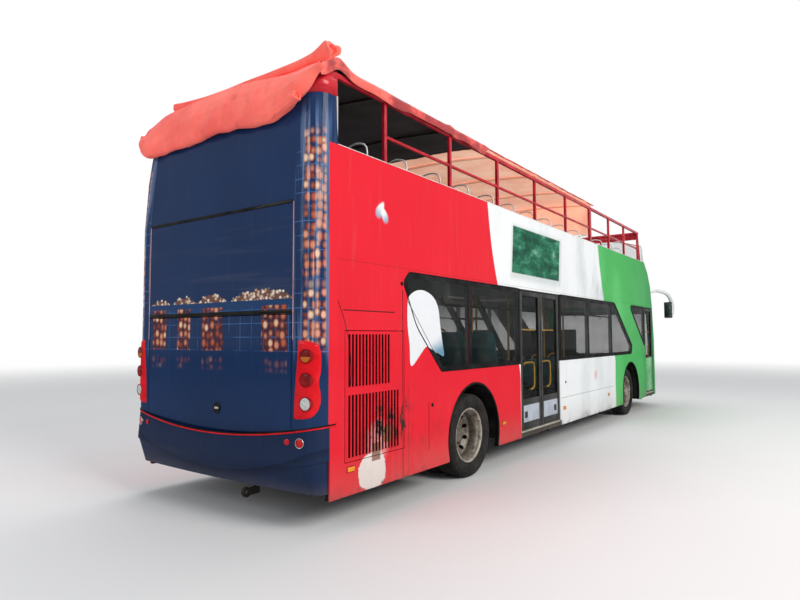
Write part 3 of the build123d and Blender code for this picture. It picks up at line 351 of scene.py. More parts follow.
    # Scraped and blackened film round the grille and along the skirt
    scrape = paint.noise(7.0, 6, 0.7, stretch=(1.6, 1.0, 0.8))
    worn = paint.band(s, -2.05, -1.18, 0.25) * paint.band(z, 0.55, 1.05, 0.2)
    worn = worn.most(paint.ease(z, 0.42, 0.27) * 0.8).most(
        paint.band(s, -1.2, -0.7, 0.15) * paint.band(z, 0.35, 0.8, 0.2) * 0.5
    )
    bare = paint.ease(scrape + worn * 0.22, 0.74, 0.80) * worn
    smudge = paint.ease(paint.noise(2.2, 5, 0.7), 0.45, 0.75) * worn * right
    base = paint.mix(smudge * 0.75, base, (0.07, 0.026, 0.024))
    # Torn film by the grille: bare white filler and two brown patches of old glue
    ragged = (paint.noise(5.0, 5, 0.7) - 0.5) * 0.16
    torn = (((s + 1.87) / 0.20) ** 2 + ((z - 0.42) / 0.17) ** 2) ** 0.5 + ragged * 4.5
    smear = (((s + 1.80) / 0.17) ** 2 + ((z - 0.64) / 0.22) ** 2) ** 0.5 + ragged * 5.0
    base = paint.mix(paint.ease(smear, 1.15, 0.55) * right * 0.75, base, (0.80, 0.30, 0.29))
    base = paint.mix(
        paint.ease(torn, 1.02, 0.94) * right,
        base,
        paint.mix(shade, (0.70, 0.62, 0.58), (0.84, 0.78, 0.74)),
    )
    for near, far, foot, head in ((-1.715, -1.585, 0.64, 0.785), (-1.885, -1.765, 0.50, 0.655)):
        glue = (
            paint.band(s + ragged * 0.12, near, far, 0.006)
            * paint.band(z + ragged * 0.12, foot, head, 0.006)
        )
        base = paint.mix(
            glue * right * 0.85, base, paint.mix(scrape, (0.13, 0.035, 0.018), (0.30, 0.12, 0.055))
        )
    base = paint.mix(bare, base, (0.035, 0.025, 0.022))
    base = paint.mix(joints * 0.9, base, (0.02, 0.012, 0.012))
    colour, roughness, bump = worn_film(paint, base)
    creases = paint.noise(5.0, 4, 0.7, stretch=(2.2, 1.0, 0.7)) * worn
    bump = paint.bump(creases, 0.03, 0.5, paint.bump(-joints, 0.003, 0.8, bump))
    if inside:
        depth = paint.ease(abs(y), inside - 0.001, inside)
        lining = paint.mix(paint.noise(3.0), (0.20, 0.21, 0.21), (0.30, 0.31, 0.30))
        lining = paint.mix(paint.ease(z, 1.12, 1.08), lining, DARK) if lined else DARK
        colour = paint.mix(depth, lining, colour)
    return paint.finish(
        colour, roughness, bump, specular_ior_level=0.0, coat_weight=0.16, coat_roughness=0.12
    )


def tail_wrap(name, glass=False):
    """The dark blue film of the tail, with a pale lattice and clusters of warm dots."""
    paint = Paint(name)
    s, y, z = paint.station, paint.y, paint.z
    shade = paint.noise(0.8, 3, 0.5)
    base = paint.mix(shade, (0.006, 0.021, 0.070), (0.012, 0.038, 0.118))
    edge = abs(y)
    pillar = paint.ease(edge, 1.035, 1.05)
    # Across the bus on the rear face, and round its corners by distance along the surface
    u = y + paint.math("SIGN", y) * (s - TAIL).most(0.0) * 0.9
    broken = paint.ease(paint.noise(2.6, 3, 0.6), 0.38, 0.6)
    lattice = paint.line(u.wrap(0.152), 0.076, 0.006).most(paint.line(z.wrap(0.118), 0.059, 0.006))
    spot_at = paint.spot(u * 15.0, z * 12.5, 0.0)
    dots = paint.cells(1.0, spot_at, 0.48)
    tone = paint.cells(1.0, spot_at, 0.48, out="Color")
    tone = paint.node("SeparateXYZ", {0: tone})
    warm = paint.mix(tone, (0.42, 0.085, 0.045), (0.80, 0.38, 0.24))
    warm = paint.mix(paint.ease(tone, 0.72, 0.92), warm, (0.80, 0.56, 0.36))
    warm = paint.mix(paint.ease(dots, 0.22, 0.50), warm, (0.20, 0.035, 0.022))
    dot = paint.ease(dots, 0.58, 0.50)
    # Dots fade in and out down the corner pillars
    fade = paint.ease(paint.noise(1.3, 3, 0.6, stretch=(0.3, 0.3, 1.6)), 0.40, 0.46)
    column = paint.band(abs(u), 1.150, 1.400, 0.012)
    pillars = column * paint.band(z, 1.52, 3.30, 0.08) * (fade * 0.65 + 0.35)
    crates = (1.0 - pillar) * paint.band(z, 1.475, 1.86, 0.008)
    group = paint.band(y, 0.74, 0.97, 0.008).most(paint.band(y, 0.35, 0.55, 0.008))
    group = group.most(paint.band(y, -0.14, 0.16, 0.02)).most(paint.band(y, -0.97, -0.66, 0.01))
    bars = paint.noise(1.0, 3, 0.6, where=paint.spot(u * 16.0, 2.2, z * 0.5))
    sheen = pillar * paint.band(z, 1.45, 3.5, 0.15) * paint.ease(bars, 0.46, 0.60)
    base = paint.mix(sheen * 0.6, base, (0.16, 0.24, 0.42))
    rows = crates * group
    base = paint.mix(rows * 0.75, base, (0.060, 0.016, 0.022))
    shelf = (1.0 - pillar) * paint.band(z, 1.80, 1.915, 0.010)
    base = paint.mix(shelf * (1.0 - rows) * 0.8, base, (0.012, 0.050, 0.150))
    mirrored = (1.0 - pillar) * paint.band(z, 1.31, 1.41, 0.03) * group * 0.20
    net = pillar.most(crates * 0.8) * paint.band(z, 1.44, 3.2, 0.04)
    base = paint.mix(net * lattice * broken * 0.8, base, (0.07, 0.19, 0.45))
    base = paint.mix(
        pillars.most(rows).most(mirrored) * dot,
        base,
        paint.mix(sheen * 0.45, warm, (0.80, 0.62, 0.56)),
    )
    # Heaps of pale pebbles stand along the seam over the hatch
    heap_at = paint.spot(y * 24.0, z * 30.0, 0.0)
    pebbles = paint.cells(1.0, heap_at, 0.85)
    pebble_tone = paint.node("SeparateXYZ", {0: paint.cells(1.0, heap_at, 0.85, out="Color")})
    mounds = []
    for centre, reach, rise in (
        (0.84, 0.17, 0.070),
        (0.44, 0.19, 0.085),
        (0.02, 0.21, 0.100),
        (-0.66, 0.42, 0.110),
    ):
        share = (y - centre) / reach
        mounds.append((1.0 - share * share).most(0.0) ** 0.6 * rise)
    heap_top = reduce(Signal.most, mounds) + HEAP_Z
    ragged = (pebbles - 0.3) * 0.045
    heaps = (
        (1.0 - pillar)
        * paint.ease(z - heap_top + ragged, 0.006, -0.006)
        * paint.ease(z, 1.908, 1.914)
    )
    pale = paint.mix(pebble_tone, (0.55, 0.34, 0.24), (0.86, 0.76, 0.64))
    pale = paint.mix(paint.ease(pebbles, 0.32, 0.60), pale, (0.16, 0.07, 0.05))
    base = paint.mix(heaps, base, pale)
    if glass:
        bars = paint.noise(1.0, 4, 0.65, where=paint.spot(y * 0.7, 1.3, z * 16.0))
        base = paint.mix(
            paint.ease(bars, 0.5, 0.72) * 0.5 * (1.0 - heaps), base, (0.045, 0.060, 0.115)
        )
    # The film ends in red on the sides
    low = paint.ease(z, PARAPET_Z, PARAPET_Z - 0.004)
    base = paint.mix(paint.ease(s, -2.448, -2.444) * low, base, RED)
    colour, roughness, bump = worn_film(paint, base, 0.6, 0.03)
    alpha = None
    if glass:
        # The panes at the nose end are clear, with a black border round the windscreen
        ahead = paint.ease(s, 0.0, 1.0)
        dust = paint.noise(2.4, 5, 0.65)
        sides = paint.ease(edge, 1.055, 1.06).most(paint.ease(z, 1.145, 1.14))
        border = paint.ease(z, 2.6, 2.5) * sides.most(paint.ease(z, 2.10, 2.11))
        pane = paint.mix(border, paint.mix(dust, (0.010, 0.014, 0.014), (0.05, 0.055, 0.055)), DARK)
        colour = paint.mix(ahead, colour, pane)
        clear = paint.ease(dust, 0.3, 0.9) * 0.10 + 0.26 - paint.ease(z, 3.1, 3.25) * 0.12
        alpha = (1.0 - ahead).most(border).most(clear)
        roughness = roughness * (1.0 - ahead * 0.8)
    else:
        # The panels' inner faces are dark. How far a point is inside the tail's outline:
        rake = (z - 2.7).most(0.0) * 0.0677 + (z - PARAPET_Z).most(0.0) * 0.0387
        inset_x = (rake - 2.46 - s).most(0.0)
        inset_y = (edge + (z - PARAPET_Z).most(0.0) * 0.0709 - TAIL_BEND).most(0.0)
        depth = (inset_x * inset_x + inset_y * inset_y) ** 0.5
        colour = paint.mix(paint.ease(depth, 0.134, 0.138), DARK, colour)
    gloss = {"specular_ior_level": 0.0, "coat_weight": 0.22, "coat_roughness": 0.08}
    return paint.finish(colour, roughness, bump, alpha=alpha, **gloss)


def plain(name, dark, light, roughness=0.5, scale=6.0, grain=120.0, **fixed):
    """A finish with two mottled tones, uneven gloss and a fine grain."""
    paint = Paint(name)
    tone = paint.noise(scale, 5, 0.62)
    colour = paint.mix(paint.ease(tone, 0.3, 0.7), dark, light)
    gloss = paint.ease(paint.noise(scale * 2.3, 4, 0.6), 0.3, 0.75) * 0.22 + (roughness - 0.1)
    bump = paint.bump(paint.noise(grain, 3, 0.6), 0.0006, 0.4)
    return paint.finish(colour, gloss, bump, **{"specular_ior_level": 0.12, **fixed})


def canvas_cloth(name, deep, light, stain, glow=0.0, split=None, hem=False):
    """Coated canvas: a fine weave, creases, sun-faded patches and dirt in streaks. glow is
    painted light: the sun shining through the cloth, given off as emission. split gives the
    painted shade behind the station where the cloth is doubled, hem stained bands."""
    paint = Paint(name)
    thread = {"Vector": paint.place, "Scale": 170.0, "Distortion": 1.2}
    weave, weft = (paint.node("TexWave", thread, out=1, bands_direction=way) for way in "XY")
    fade = paint.noise(1.6, 4, 0.6)
    grime = paint.noise(3.2, 5, 0.68, stretch=(1.0, 2.2, 1.6))
    colour = paint.mix(paint.ease(fade, 0.35, 0.68), deep, light)
    colour = paint.mix(paint.ease(grime, 0.52, 0.80) * 0.45, colour, stain)
    if split:
        # Painted shade where the cloth is doubled: near black, darker red on the flap, and no glow
        station, behind = split
        doubled = paint.ease(paint.station + (fade - 0.5) * 0.10, station + 0.012, station - 0.012)
        flap = paint.ease(paint.station, -2.40, -2.46)
        colour = paint.mix(doubled, colour, paint.mix(flap, behind, (0.62, 0.060, 0.055)))
        glowing = paint.mix(doubled, colour, (0.0, 0.0, 0.0))
    else:
        glowing = colour
    if hem:
        # The bands over the side rails are stained maroon in lengths
        band = paint.ease(abs(paint.y), 1.236, 1.246) * paint.ease(paint.station, -2.50, -2.42)
        length = paint.ease(paint.noise(1.7, 4, 0.65, stretch=(1.0, 0.0, 1.6)), 0.42, 0.58)
        colour = paint.mix(band * (length * 0.75 + 0.15), colour, (0.20, 0.010, 0.022))
    creases = paint.noise(9.0, 5, 0.65, stretch=(0.7, 1.3, 1.0))
    bump = paint.bump(weave + weft, 0.0004, 0.3, paint.bump(creases, 0.010, 0.55))
    # The glow is painted light: emission for the sun shining through the cloth
    return paint.finish(
        colour, 0.85, bump, glow=glowing if glow else None, emission_strength=glow, sheen_weight=0.1
    )


def tinted_glass(name, dark=(0.006, 0.009, 0.009), clear=0.44):
    """Dusty tinted glass, darker towards its top. clear is its alpha where it is clean."""
    paint = Paint(name)
    dust = paint.noise(2.4, 5, 0.65, stretch=(1, 1, 0.5))
    colour = paint.mix(paint.ease(dust, 0.45, 0.8), dark, (0.060, 0.062, 0.058))
    roughness = paint.ease(dust, 0.4, 0.8) * 0.06 + 0.02
    alpha = paint.ease(dust, 0.3, 0.9) * 0.12 + clear + paint.ease(paint.z, 1.7, 2.2) * 0.16
    waves = paint.noise(1.2, 2, 0.5)
    bump = paint.bump(waves, 0.02, 0.25)
    gloss = {"specular_ior_level": 0.0, "coat_weight": 0.30}
    return paint.finish(colour, roughness, bump, alpha=alpha, **gloss)


def lacquer(name, dark, light, roughness, coat_weight, **more):
    """A plain finish that shines by its coat alone."""
    fixed = {"specular_ior_level": 0.0, "coat_weight": coat_weight, **more}
    return plain(name, dark, light, roughness, **fixed)


wall_wrap = side_wrap("wall_wrap", inside=1.262)
grille_wrap = side_wrap("grille_wrap", inside=1.2715, lined=False)
nose_wrap = side_wrap("nose_wrap")
tail_film = tail_wrap("tail_film")
tail_window = tail_wrap("tail_window", glass=True)
glass_tint = tinted_glass("glass_tint", clear=0.31)
door_glass = tinted_glass("door_glass", dark=(0.008, 0.011, 0.011), clear=0.18)

black_paint = lacquer("black_paint", (0.007, 0.007, 0.008), (0.022, 0.022, 0.023), 0.40, 0.12)
rubber = lacquer("rubber", (0.006, 0.006, 0.006), (0.018, 0.017, 0.016), 0.60, 0.12, grain=60.0)
# The bezels' dark red is partly their own colour and partly painted shade of the recess round each
# lens
bezel_red = lacquer("bezel_red", (0.20, 0.004, 0.007), (0.34, 0.008, 0.012), 0.18, 0.3)
lamp_red = lacquer("lamp_red", (0.62, 0.006, 0.012), (0.76, 0.012, 0.020), 0.20, 0.22)
lens_red = lacquer("lens_red", (0.17, 0.002, 0.004), (0.30, 0.006, 0.008), 0.12, 0.35)
lens_bright = lacquer("lens_bright", (0.50, 0.006, 0.010), (0.72, 0.012, 0.018), 0.15, 0.4)
lens_amber = lacquer("lens_amber", (0.70, 0.20, 0.015), (0.85, 0.30, 0.025), 0.18, 0.3)
lens_clear = lacquer("lens_clear", (0.42, 0.43, 0.42), (0.66, 0.67, 0.66), 0.15, 0.4, scale=60.0)

rail_paint = plain(
    "rail_paint", (0.30, 0.007, 0.015), (0.56, 0.018, 0.034), 0.42, 7.0, coat_weight=0.2
)
cap_paint = plain("cap_paint", (0.45, 0.008, 0.016), (0.62, 0.016, 0.028), 0.36, coat_weight=0.3)
yellow_paint = plain("yellow_paint", (0.72, 0.36, 0.012), (0.88, 0.52, 0.03), 0.32, coat_weight=0.3)
green_panel = plain(
    "green_panel", (0.05, 0.34, 0.09), (0.11, 0.48, 0.15), 0.35, 2.0, coat_weight=0.3
)
black_gloss = plain(
    "black_gloss", (0.006, 0.006, 0.007), (0.016, 0.016, 0.017), 0.16, coat_weight=0.3
)
door_black = plain("door_black", (0.010, 0.011, 0.010), (0.030, 0.031, 0.029), 0.38)
kick_grey = plain("kick_grey", (0.34, 0.38, 0.44), (0.46, 0.50, 0.56), 0.42)
pink_trim = plain("pink_trim", (0.52, 0.22, 0.26), (0.72, 0.42, 0.44), 0.4)
rail_pale = plain("rail_pale", (0.62, 0.58, 0.56), (0.76, 0.73, 0.71), 0.4)

deck_sheet = plain("deck_sheet", (0.05, 0.055, 0.06), (0.11, 0.115, 0.12), 0.75, grain=300.0)
chassis_black = plain("chassis_black", (0.008, 0.008, 0.008), (0.040, 0.030, 0.022), 0.75, 4.0)
iron = plain("iron", (0.022, 0.018, 0.015), (0.085, 0.060, 0.042), 0.7, 8.0)
tyre_rubber = plain("tyre_rubber", (0.010, 0.010, 0.010), (0.032, 0.030, 0.027), 0.82, 5.0)
chrome = plain("chrome", (0.30, 0.30, 0.30), (0.52, 0.52, 0.51), 0.30, metallic=0.85)
alloy = plain("alloy", (0.34, 0.31, 0.26), (0.52, 0.47, 0.40), 0.40, metallic=0.4)
mirror_glass = plain("mirror_glass", (0.06, 0.07, 0.08), (0.12, 0.13, 0.15), 0.12, metallic=0.8)
shell_grey = plain("shell_grey", (0.040, 0.045, 0.055), (0.075, 0.082, 0.10), 0.45)
seat_teal = plain("seat_teal", (0.015, 0.13, 0.14), (0.04, 0.24, 0.25), 0.40)
white_shell = plain("white_shell", (0.66, 0.67, 0.66), (0.78, 0.79, 0.78), 0.30, coat_weight=0.3)
moquette = plain("moquette", (0.02, 0.12, 0.15), (0.07, 0.28, 0.31), 0.85, 40.0, 700.0)

# Cloth seen from below: its peach and its glow are painted light, the sun through the coral
# cloth and light bounced up from the red bus; and the painted shade where it is doubled:
# station and colour
PEACH = ((0.80, 0.40, 0.27), (0.90, 0.54, 0.39))
SHADED = (0.42, (0.012, 0.0012, 0.0020))
# Every canvas glows a little: painted light of the sun shining through the cloth
canvas_top = canvas_cloth(
    "canvas_top", (0.86, 0.095, 0.075), (1.0, 0.180, 0.135), (0.40, 0.026, 0.028), 0.12, hem=True
)
canvas_under = canvas_cloth("canvas_under", *PEACH, (0.70, 0.27, 0.18), 0.72, SHADED)
canvas_peach = canvas_cloth("canvas_peach", *PEACH, (0.72, 0.30, 0.20), 0.66)
bow_sleeve = canvas_cloth(
    "bow_sleeve", (0.66, 0.33, 0.23), (0.78, 0.45, 0.33), (0.55, 0.22, 0.15), 0.35, SHADED
)


def rim_steel():
    """Painted steel with brake dust, rust about the nuts, and all steel inboard of the outer face
    darker.
    """
    paint = Paint("rim_steel")
    tone = paint.noise(9.0, 5, 0.65)
    colour = paint.mix(paint.ease(tone, 0.3, 0.7), (0.26, 0.225, 0.185), (0.46, 0.42, 0.36))
    grime = paint.ease(paint.noise(16.0, 5, 0.7), 0.42, 0.66)
    outboard = paint.ease(abs(paint.y), 1.06, 1.18)
    colour = paint.mix(grime * 0.75, colour, (0.055, 0.038, 0.026))
    # All steel inboard of the outer face is darker by a fixed share
    colour = paint.mix(outboard, paint.mix(0.55, colour, (0.045, 0.036, 0.028)), colour)
    bump = paint.bump(tone, 0.002, 0.4)
    return paint.finish(colour, tone * 0.3 + 0.34, bump, metallic=0.35)


rim_paint = rim_steel()


def bumper_film():
    """Dark blue bumper with stone chips, a dark shade under its crease and road dust."""
    paint = Paint("bumper_navy")
    shade = paint.noise(1.4, 4, 0.6)
    base = paint.mix(shade, (0.006, 0.014, 0.044), (0.012, 0.027, 0.076))
    chips = (
        paint.ease(paint.noise(60.0, 3, 0.7), 0.70, 0.74)
        * paint.ease(paint.noise(3.0, 3, 0.6), 0.45, 0.65)
    )
    base = paint.mix(chips * 0.6, base, (0.22, 0.22, 0.23))
    # Painted shade under a crease line that the bumper's shape doesn't have
    crease = paint.z - 0.43 - paint.y * paint.y * 0.165
    shaded = paint.ease(crease, -0.10, 0.0) * paint.ease(crease, 0.004, 0.0) * 0.55
    base = paint.mix(shaded, base, (0.003, 0.007, 0.020))
    colour, roughness, bump = worn_film(paint, base, 0.48, 0.03)
    return paint.finish(
        colour, roughness, bump, specular_ior_level=0.0, coat_weight=0.22, coat_roughness=0.10
    )


def deck_paint():
    """Dark studded sheet on the open deck, and the pale ceiling panels under it."""
    paint = Paint("deck_and_ceiling")
    tone = paint.noise(5.0, 5, 0.62)
    floor_tone = paint.mix(tone, (0.05, 0.055, 0.06), (0.12, 0.125, 0.13))
    studs = paint.ease(paint.cells(45.0, randomness=0.0), 0.25, 0.2)
    ceiling = paint.mix(tone, (0.34, 0.34, 0.32), (0.46, 0.46, 0.44))
    seams = paint.line(paint.station.wrap(0.9), 0.45, 0.008)
    ceiling = paint.mix(seams * 0.7, ceiling, (0.08, 0.08, 0.08))
    under = paint.ease(paint.z, 2.352, 2.348)
    colour = paint.mix(under, floor_tone, ceiling)
    return paint.finish(colour, tone * 0.2 + 0.6, paint.bump(studs * (1.0 - under), 0.0015, 0.5))


bumper_navy = bumper_film()
deck_and_ceiling = deck_paint()


def leaf_paint():
    """A pale printed leaf, shaded to blue at its foot."""
    paint = Paint("leaf_film")
    soft = paint.noise(3.0, 4, 0.6)
    low = paint.ease(paint.z - paint.station * 0.30 + (soft - 0.5) * 0.25, 1.86, 1.66)
    base = paint.mix(soft, (0.78, 0.80, 0.82), (0.70, 0.73, 0.76))
    base = paint.mix(low * paint.ease(paint.station, -1.05, -0.85), base, (0.13, 0.28, 0.40))
    seam = (
        paint.line(paint.station + (paint.z - 1.69) * 0.93 - 0.02, -1.12, 0.010)
        * paint.ease(paint.z, 1.98, 1.96)
    )
    base = paint.mix(seam, base, (0.05, 0.045, 0.045))
    colour, roughness, bump = worn_film(paint, base)
    return paint.finish(colour, roughness, bump, specular_ior_level=0.0, coat_weight=0.16)


leaf_film = leaf_paint()


def tail_lens():
    """A round lens whose upper half is dark red and lower half amber."""
    paint = Paint("lens_two")
    ribs = paint.node("TexWave", {"Vector": paint.place, "Scale": 55.0}, out=1, bands_direction="Z")
    low = paint.ease(paint.z, 1.437, 1.433)
    colour = paint.mix(low, (0.16, 0.003, 0.005), (0.50, 0.14, 0.012))
    roughness = ribs * 0.05 + 0.10
    bump = paint.bump(ribs, 0.001, 0.5)
    return paint.finish(colour, roughness, bump, specular_ior_level=0.0, coat_weight=0.35)


lens_two = tail_lens()

cad_finish = {
    wall_wrap: ("right_side_wall", "left_side_wall", "side_parapets"),
    grille_wrap: ("grille_door",),
    nose_wrap: ("front_mask", "upper_front_panel"),
    tail_film: ("rear_panel", "engine_hatch"),
    bumper_navy: ("rear_bumper",),
    glass_tint: ("side_glazing",),
    tail_window: ("end_glazing",),
    deck_and_ceiling: ("upper_deck",),
    deck_sheet: ("lower_floor", "rear_platform", "wheel_box_walls", "staircase"),
    chassis_black: ("chassis_frame", "rear_frame", "tow_eyes"),
    iron: ("engine_block", "rear_axle", "front_axle", "knuckle_right", "knuckle_left"),
    black_paint: ("driver_station",),
    bow_sleeve: ("roof_bows",),
    yellow_paint: ("grab_poles",),
}
for material, names in cad_finish.items():
    for name in names:
        slots = nodes[name].data.materials
        slots.clear()
        slots.append(material)


# Nodes whose sharp edges are rounded, and how wide
for name, width in (
    ("right_side_wall", 0.004),
    ("left_side_wall", 0.004),
    ("side_parapets", 0.006),
    ("grille_door", 0.003),
    ("engine_hatch", 0.008),
    ("rear_panel", 0.006),
    ("rear_bumper", 0.010),
    ("front_mask", 0.006),
    ("upper_front_panel", 0.006),
    ("roof_bows", 0.003),
):
    bevel = nodes[name].modifiers.new("rounding", "BEVEL")
    bevel.width = width
    bevel.segments = 2
    bevel.limit_method = "ANGLE"
    bevel.angle_limit = math.radians(40)
    bevel.harden_normals = True


# ---- mesh helpers


def link(name, data, body="root"):
    """A new object on a body."""
    made = bpy.data.objects.new(name, data)
    bpy.context.scene.collection.objects.link(made)
    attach(made, body)
    return made


def piece(name, bm, materials, body="root", sharp=35.0):
    """Turns a bmesh into a shown piece with smooth faces between sharp edges."""
    bmesh.ops.recalc_face_normals(bm, faces=bm.faces)
    mesh = bpy.data.meshes.new(name)
    bm.to_mesh(mesh)
    bm.free()
    for material in materials if isinstance(materials, (list, tuple)) else [materials]:
        mesh.materials.append(material)
    mesh.polygons.foreach_set("use_smooth", [True] * len(mesh.polygons))
    mesh.set_sharp_from_angle(angle=math.radians(sharp))
    return link(name, mesh, body)


def place(bm, verts, matrix):
    """Moves points by a matrix."""
    bmesh.ops.transform(bm, verts=verts, matrix=matrix)


def bar(bm, low, high, bevel=0.004, segments=2, matrix=None, material=0):
    """A box between two corners with its edges rounded."""
    low, high = Vector(low), Vector(high)
    size = high - low
    first_face, first_vert = len(bm.faces), len(bm.verts)
    verts = bmesh.ops.create_cube(bm, size=1.0)["verts"]
    place(bm, verts, Matrix.Translation((low + high) / 2) @ Matrix.Diagonal((*size, 1.0)))
    edges = {edge for vert in verts for edge in vert.link_edges}
    bevel = min(bevel, min(size) * 0.45)
    bmesh.ops.bevel(
        bm, geom=list(edges), offset=bevel, segments=segments, affect="EDGES", profile=0.5,
        material=-1
    )
    bm.faces.ensure_lookup_table()
    for face in bm.faces[first_face:]:
        face.material_index = material
    if matrix:
        bm.verts.ensure_lookup_table()
        place(bm, bm.verts[first_vert:], matrix)


def disc(bm, centre, normal, radius, depth, segments=32, material=0):
    """A short cylinder standing on centre along normal."""
    turn = Vector((0, 0, 1)).rotation_difference(Vector(normal)).to_matrix().to_4x4()
    made = bmesh.ops.create_cone(
        bm, cap_ends=True, segments=segments, radius1=radius, radius2=radius, depth=depth
    )["verts"]
    place(bm, made, Matrix.Translation(centre) @ turn @ Matrix.Translation((0, 0, depth / 2)))
    for face in {face for vert in made for face in vert.link_faces}:
        face.material_index = material


def tubes(name, paths, radius, material, body="root", resolution=3, closed=False, taper=None):
    """One curve object with a round tube along each path. taper gives its share of the
    radius at a share of its length."""
    curve = bpy.data.curves.new(name, "CURVE")
    curve.dimensions = "3D"
    curve.bevel_depth = radius
    curve.bevel_resolution = resolution
    curve.use_fill_caps = not closed
    for path in paths:
        spline = curve.splines.new("POLY")
        spline.points.add(len(path) - 1)
        for index, (point, where) in enumerate(zip(spline.points, path)):
            point.co = (*where, 1.0)
            if taper:
                point.radius = taper(index / (len(path) - 1))
        spline.use_cyclic_u = closed
    curve.materials.append(material)
    return link(name, curve, body)


def rounded(corners):
    """Points (across, up) of a closed outline with rounded corners (across, up, radius)."""
    points = []
    steps = 8
    count = len(corners)
    for index, (x, z, radius) in enumerate(corners):
        here = Vector((x, z))
        before = (Vector(corners[index - 1][:2]) - here).normalized()
        after = (Vector(corners[(index + 1) % count][:2]) - here).normalized()
        half = before.angle(after) / 2
        reach = radius / math.tan(half)
        start, end = here + before * reach, here + after * reach
        centre = here + (before + after).normalized() * (radius / math.sin(half))
        for step in range(steps + 1):
            share = step / steps
            toward = start.lerp(end, share) - centre
            points.append(tuple(centre + toward.normalized() * radius))
    return points


# ---- shapes


def smooth(value, low, high):
    """0 at low, 1 at high, eased between."""
    share = min(1.0, max(0.0, (value - low) / (high - low)))
    return share * share * (3 - 2 * share)


def lumps(x, y, z, size, depth, seed=0.0):
    """Smooth noise of a size and depth at a place."""
    return depth * noise.noise(Vector((x / size + seed, y / size - seed, z / size + seed * 0.37)))


def along(table, value):
    """Values from a table of (key, values...) rows, straight between its rows."""
    for row, following in zip(table, table[1:]):
        if value <= following[0]:
            break
    share = min(1.0, max(0.0, (value - row[0]) / (following[0] - row[0])))
    return [a + (b - a) * share for a, b in zip(row[1:], following[1:])]


def sheet_grid(bm, columns, rows, shape):
    """A grid whose points shape(u, v) gives, u and v from 0 to 1."""
    made = bmesh.ops.create_grid(bm, x_segments=columns, y_segments=rows, size=0.5)["verts"]
    for vert in made:
        vert.co = Vector(shape(vert.co.x + 0.5, vert.co.y + 0.5))


def thicken(made, depth, offset=-1.0):
    """Gives a sheet its thickness. An offset of 1 puts it outside, and 0 on both sides."""
    solid = made.modifiers.new("thickness", "SOLIDIFY")
    solid.thickness = depth
    solid.offset = offset
    return solid


def curve_through(points, steps=10, closed=False):
    """Points on a smooth line through the given ones."""
    points = [Vector(point) for point in points]
    count = len(points)
    line = []
    for index in range(count if closed else count - 1):
        if closed:
            a, b, c, d = (points[(index + k) % count] for k in (-1, 0, 1, 2))
        else:
            b, c = points[index], points[index + 1]
            a = points[index - 1] if index else b * 2 - c
            d = points[index + 2] if index + 2 < count else c * 2 - b
        for step in range(steps):
            t = step / steps
            line.append(
                b
                + (c - a) * (t / 2)
                + (a * 2 - b * 5 + c * 4 - d) * (t * t / 2)
                + (b * 3 - a - c * 3 + d) * (t**3 / 2)
            )
    if not closed:
        line.append(points[-1])
    return line


# ---- window outlines, as in the walls: (station, height, corner radius)

rear_slope = [(-1.405, 2.12, 0.07), (-1.30, HEAD_Z, 0.05)]
rear_foot = [(-0.72, BELT_Z, 0.06), (-1.18, 1.69, 0.5)]
front_slope = [(5.48, HEAD_Z, 0.2), (6.65, 1.4, 0.06), (6.57, BELT_Z, 0.06)]
panes = {
    -1: [
        rear_slope + [(1.2, HEAD_Z, 0.03), (1.2, BELT_Z, 0.03)] + rear_foot,
        [(2.66, BELT_Z, 0.03), (2.66, HEAD_Z, 0.03)] + front_slope,
        [(6.48, HEAD_Z, 0.06), (7.66, HEAD_Z, 0.03), (7.66, 1.35, 0.03)],
    ],
    1: [
        rear_slope + front_slope + rear_foot,
        [(6.48, HEAD_Z, 0.06), (8.35, HEAD_Z, 0.04), (8.35, 1.09, 0.06), (8.08, 1.16, 0.2)],
    ],
}


def inset(corners, amount):
    """The outline's corners moved in by an amount."""
    shrunk = []
    count = len(corners)
    area = sum(
        corners[i - 1][0] * corners[i][1] - corners[i][0] * corners[i - 1][1] for i in range(count)
    )
    turn = 1 if area > 0 else -1
    for index, (x, z, radius) in enumerate(corners):
        here = Vector((x, z))
        ahead = (Vector(corners[(index + 1) % count][:2]) - here).normalized()
        back = (here - Vector(corners[index - 1][:2])).normalized()
        normal_a = Vector((-ahead.y, ahead.x)) * turn
        normal_b = Vector((-back.y, back.x)) * turn
        middle = (normal_a + normal_b).normalized()
        here = here + middle * (amount / max(0.3, middle.dot(normal_a)))
        shrunk.append((here.x, here.y, max(0.012, radius - amount)))
    return shrunk


def ring(bm, outer, inner, y):
    """A flat band between two outlines with the same number of points."""
    loops = []
    for outline in (outer, inner):
        verts = [bm.verts.new((at(x), y, z)) for x, z in outline]
        loops.append([bm.edges.new((verts[i - 1], verts[i])) for i in range(len(verts))])
    bmesh.ops.bridge_loops(bm, edges=loops[0] + loops[1])


borders = bmesh.new()
for side, outlines in panes.items():
    y = side * (HALF + 0.0006)
    for corners in outlines:
        ring(borders, rounded(inset(corners, 0.002)), rounded(inset(corners, 0.055)), y)
        ends = [station for station, height, radius in corners]
        for station in (-0.1, 1.2, 2.66, 3.96, 5.26):
            if min(ends) + 0.5 < station < max(ends) - 0.8:
                low = (at(station) - 0.035, y - 0.0004, BELT_Z + 0.03)
                high = (at(station) + 0.035, y + 0.0004, HEAD_Z - 0.03)
                bar(borders, low, high, 0.0001, 1)
piece("window_borders", borders, black_paint)
for side, outlines in panes.items():
    tubes(
        f"window_seals_{'right' if side < 0 else 'left'}",
        [[(at(x), side * (HALF + 0.001), z) for x, z in rounded(corners)] for corners in outlines],
        0.0065,
        rubber,
        closed=True,
    )


# ---- wheel arches: a round part and two upright feet

ARCH_Z = AXLE_Z + 0.010
ARCH_RADIUS = 0.582
ARCH_FOOT = 0.557
FOOT_Z = 0.31

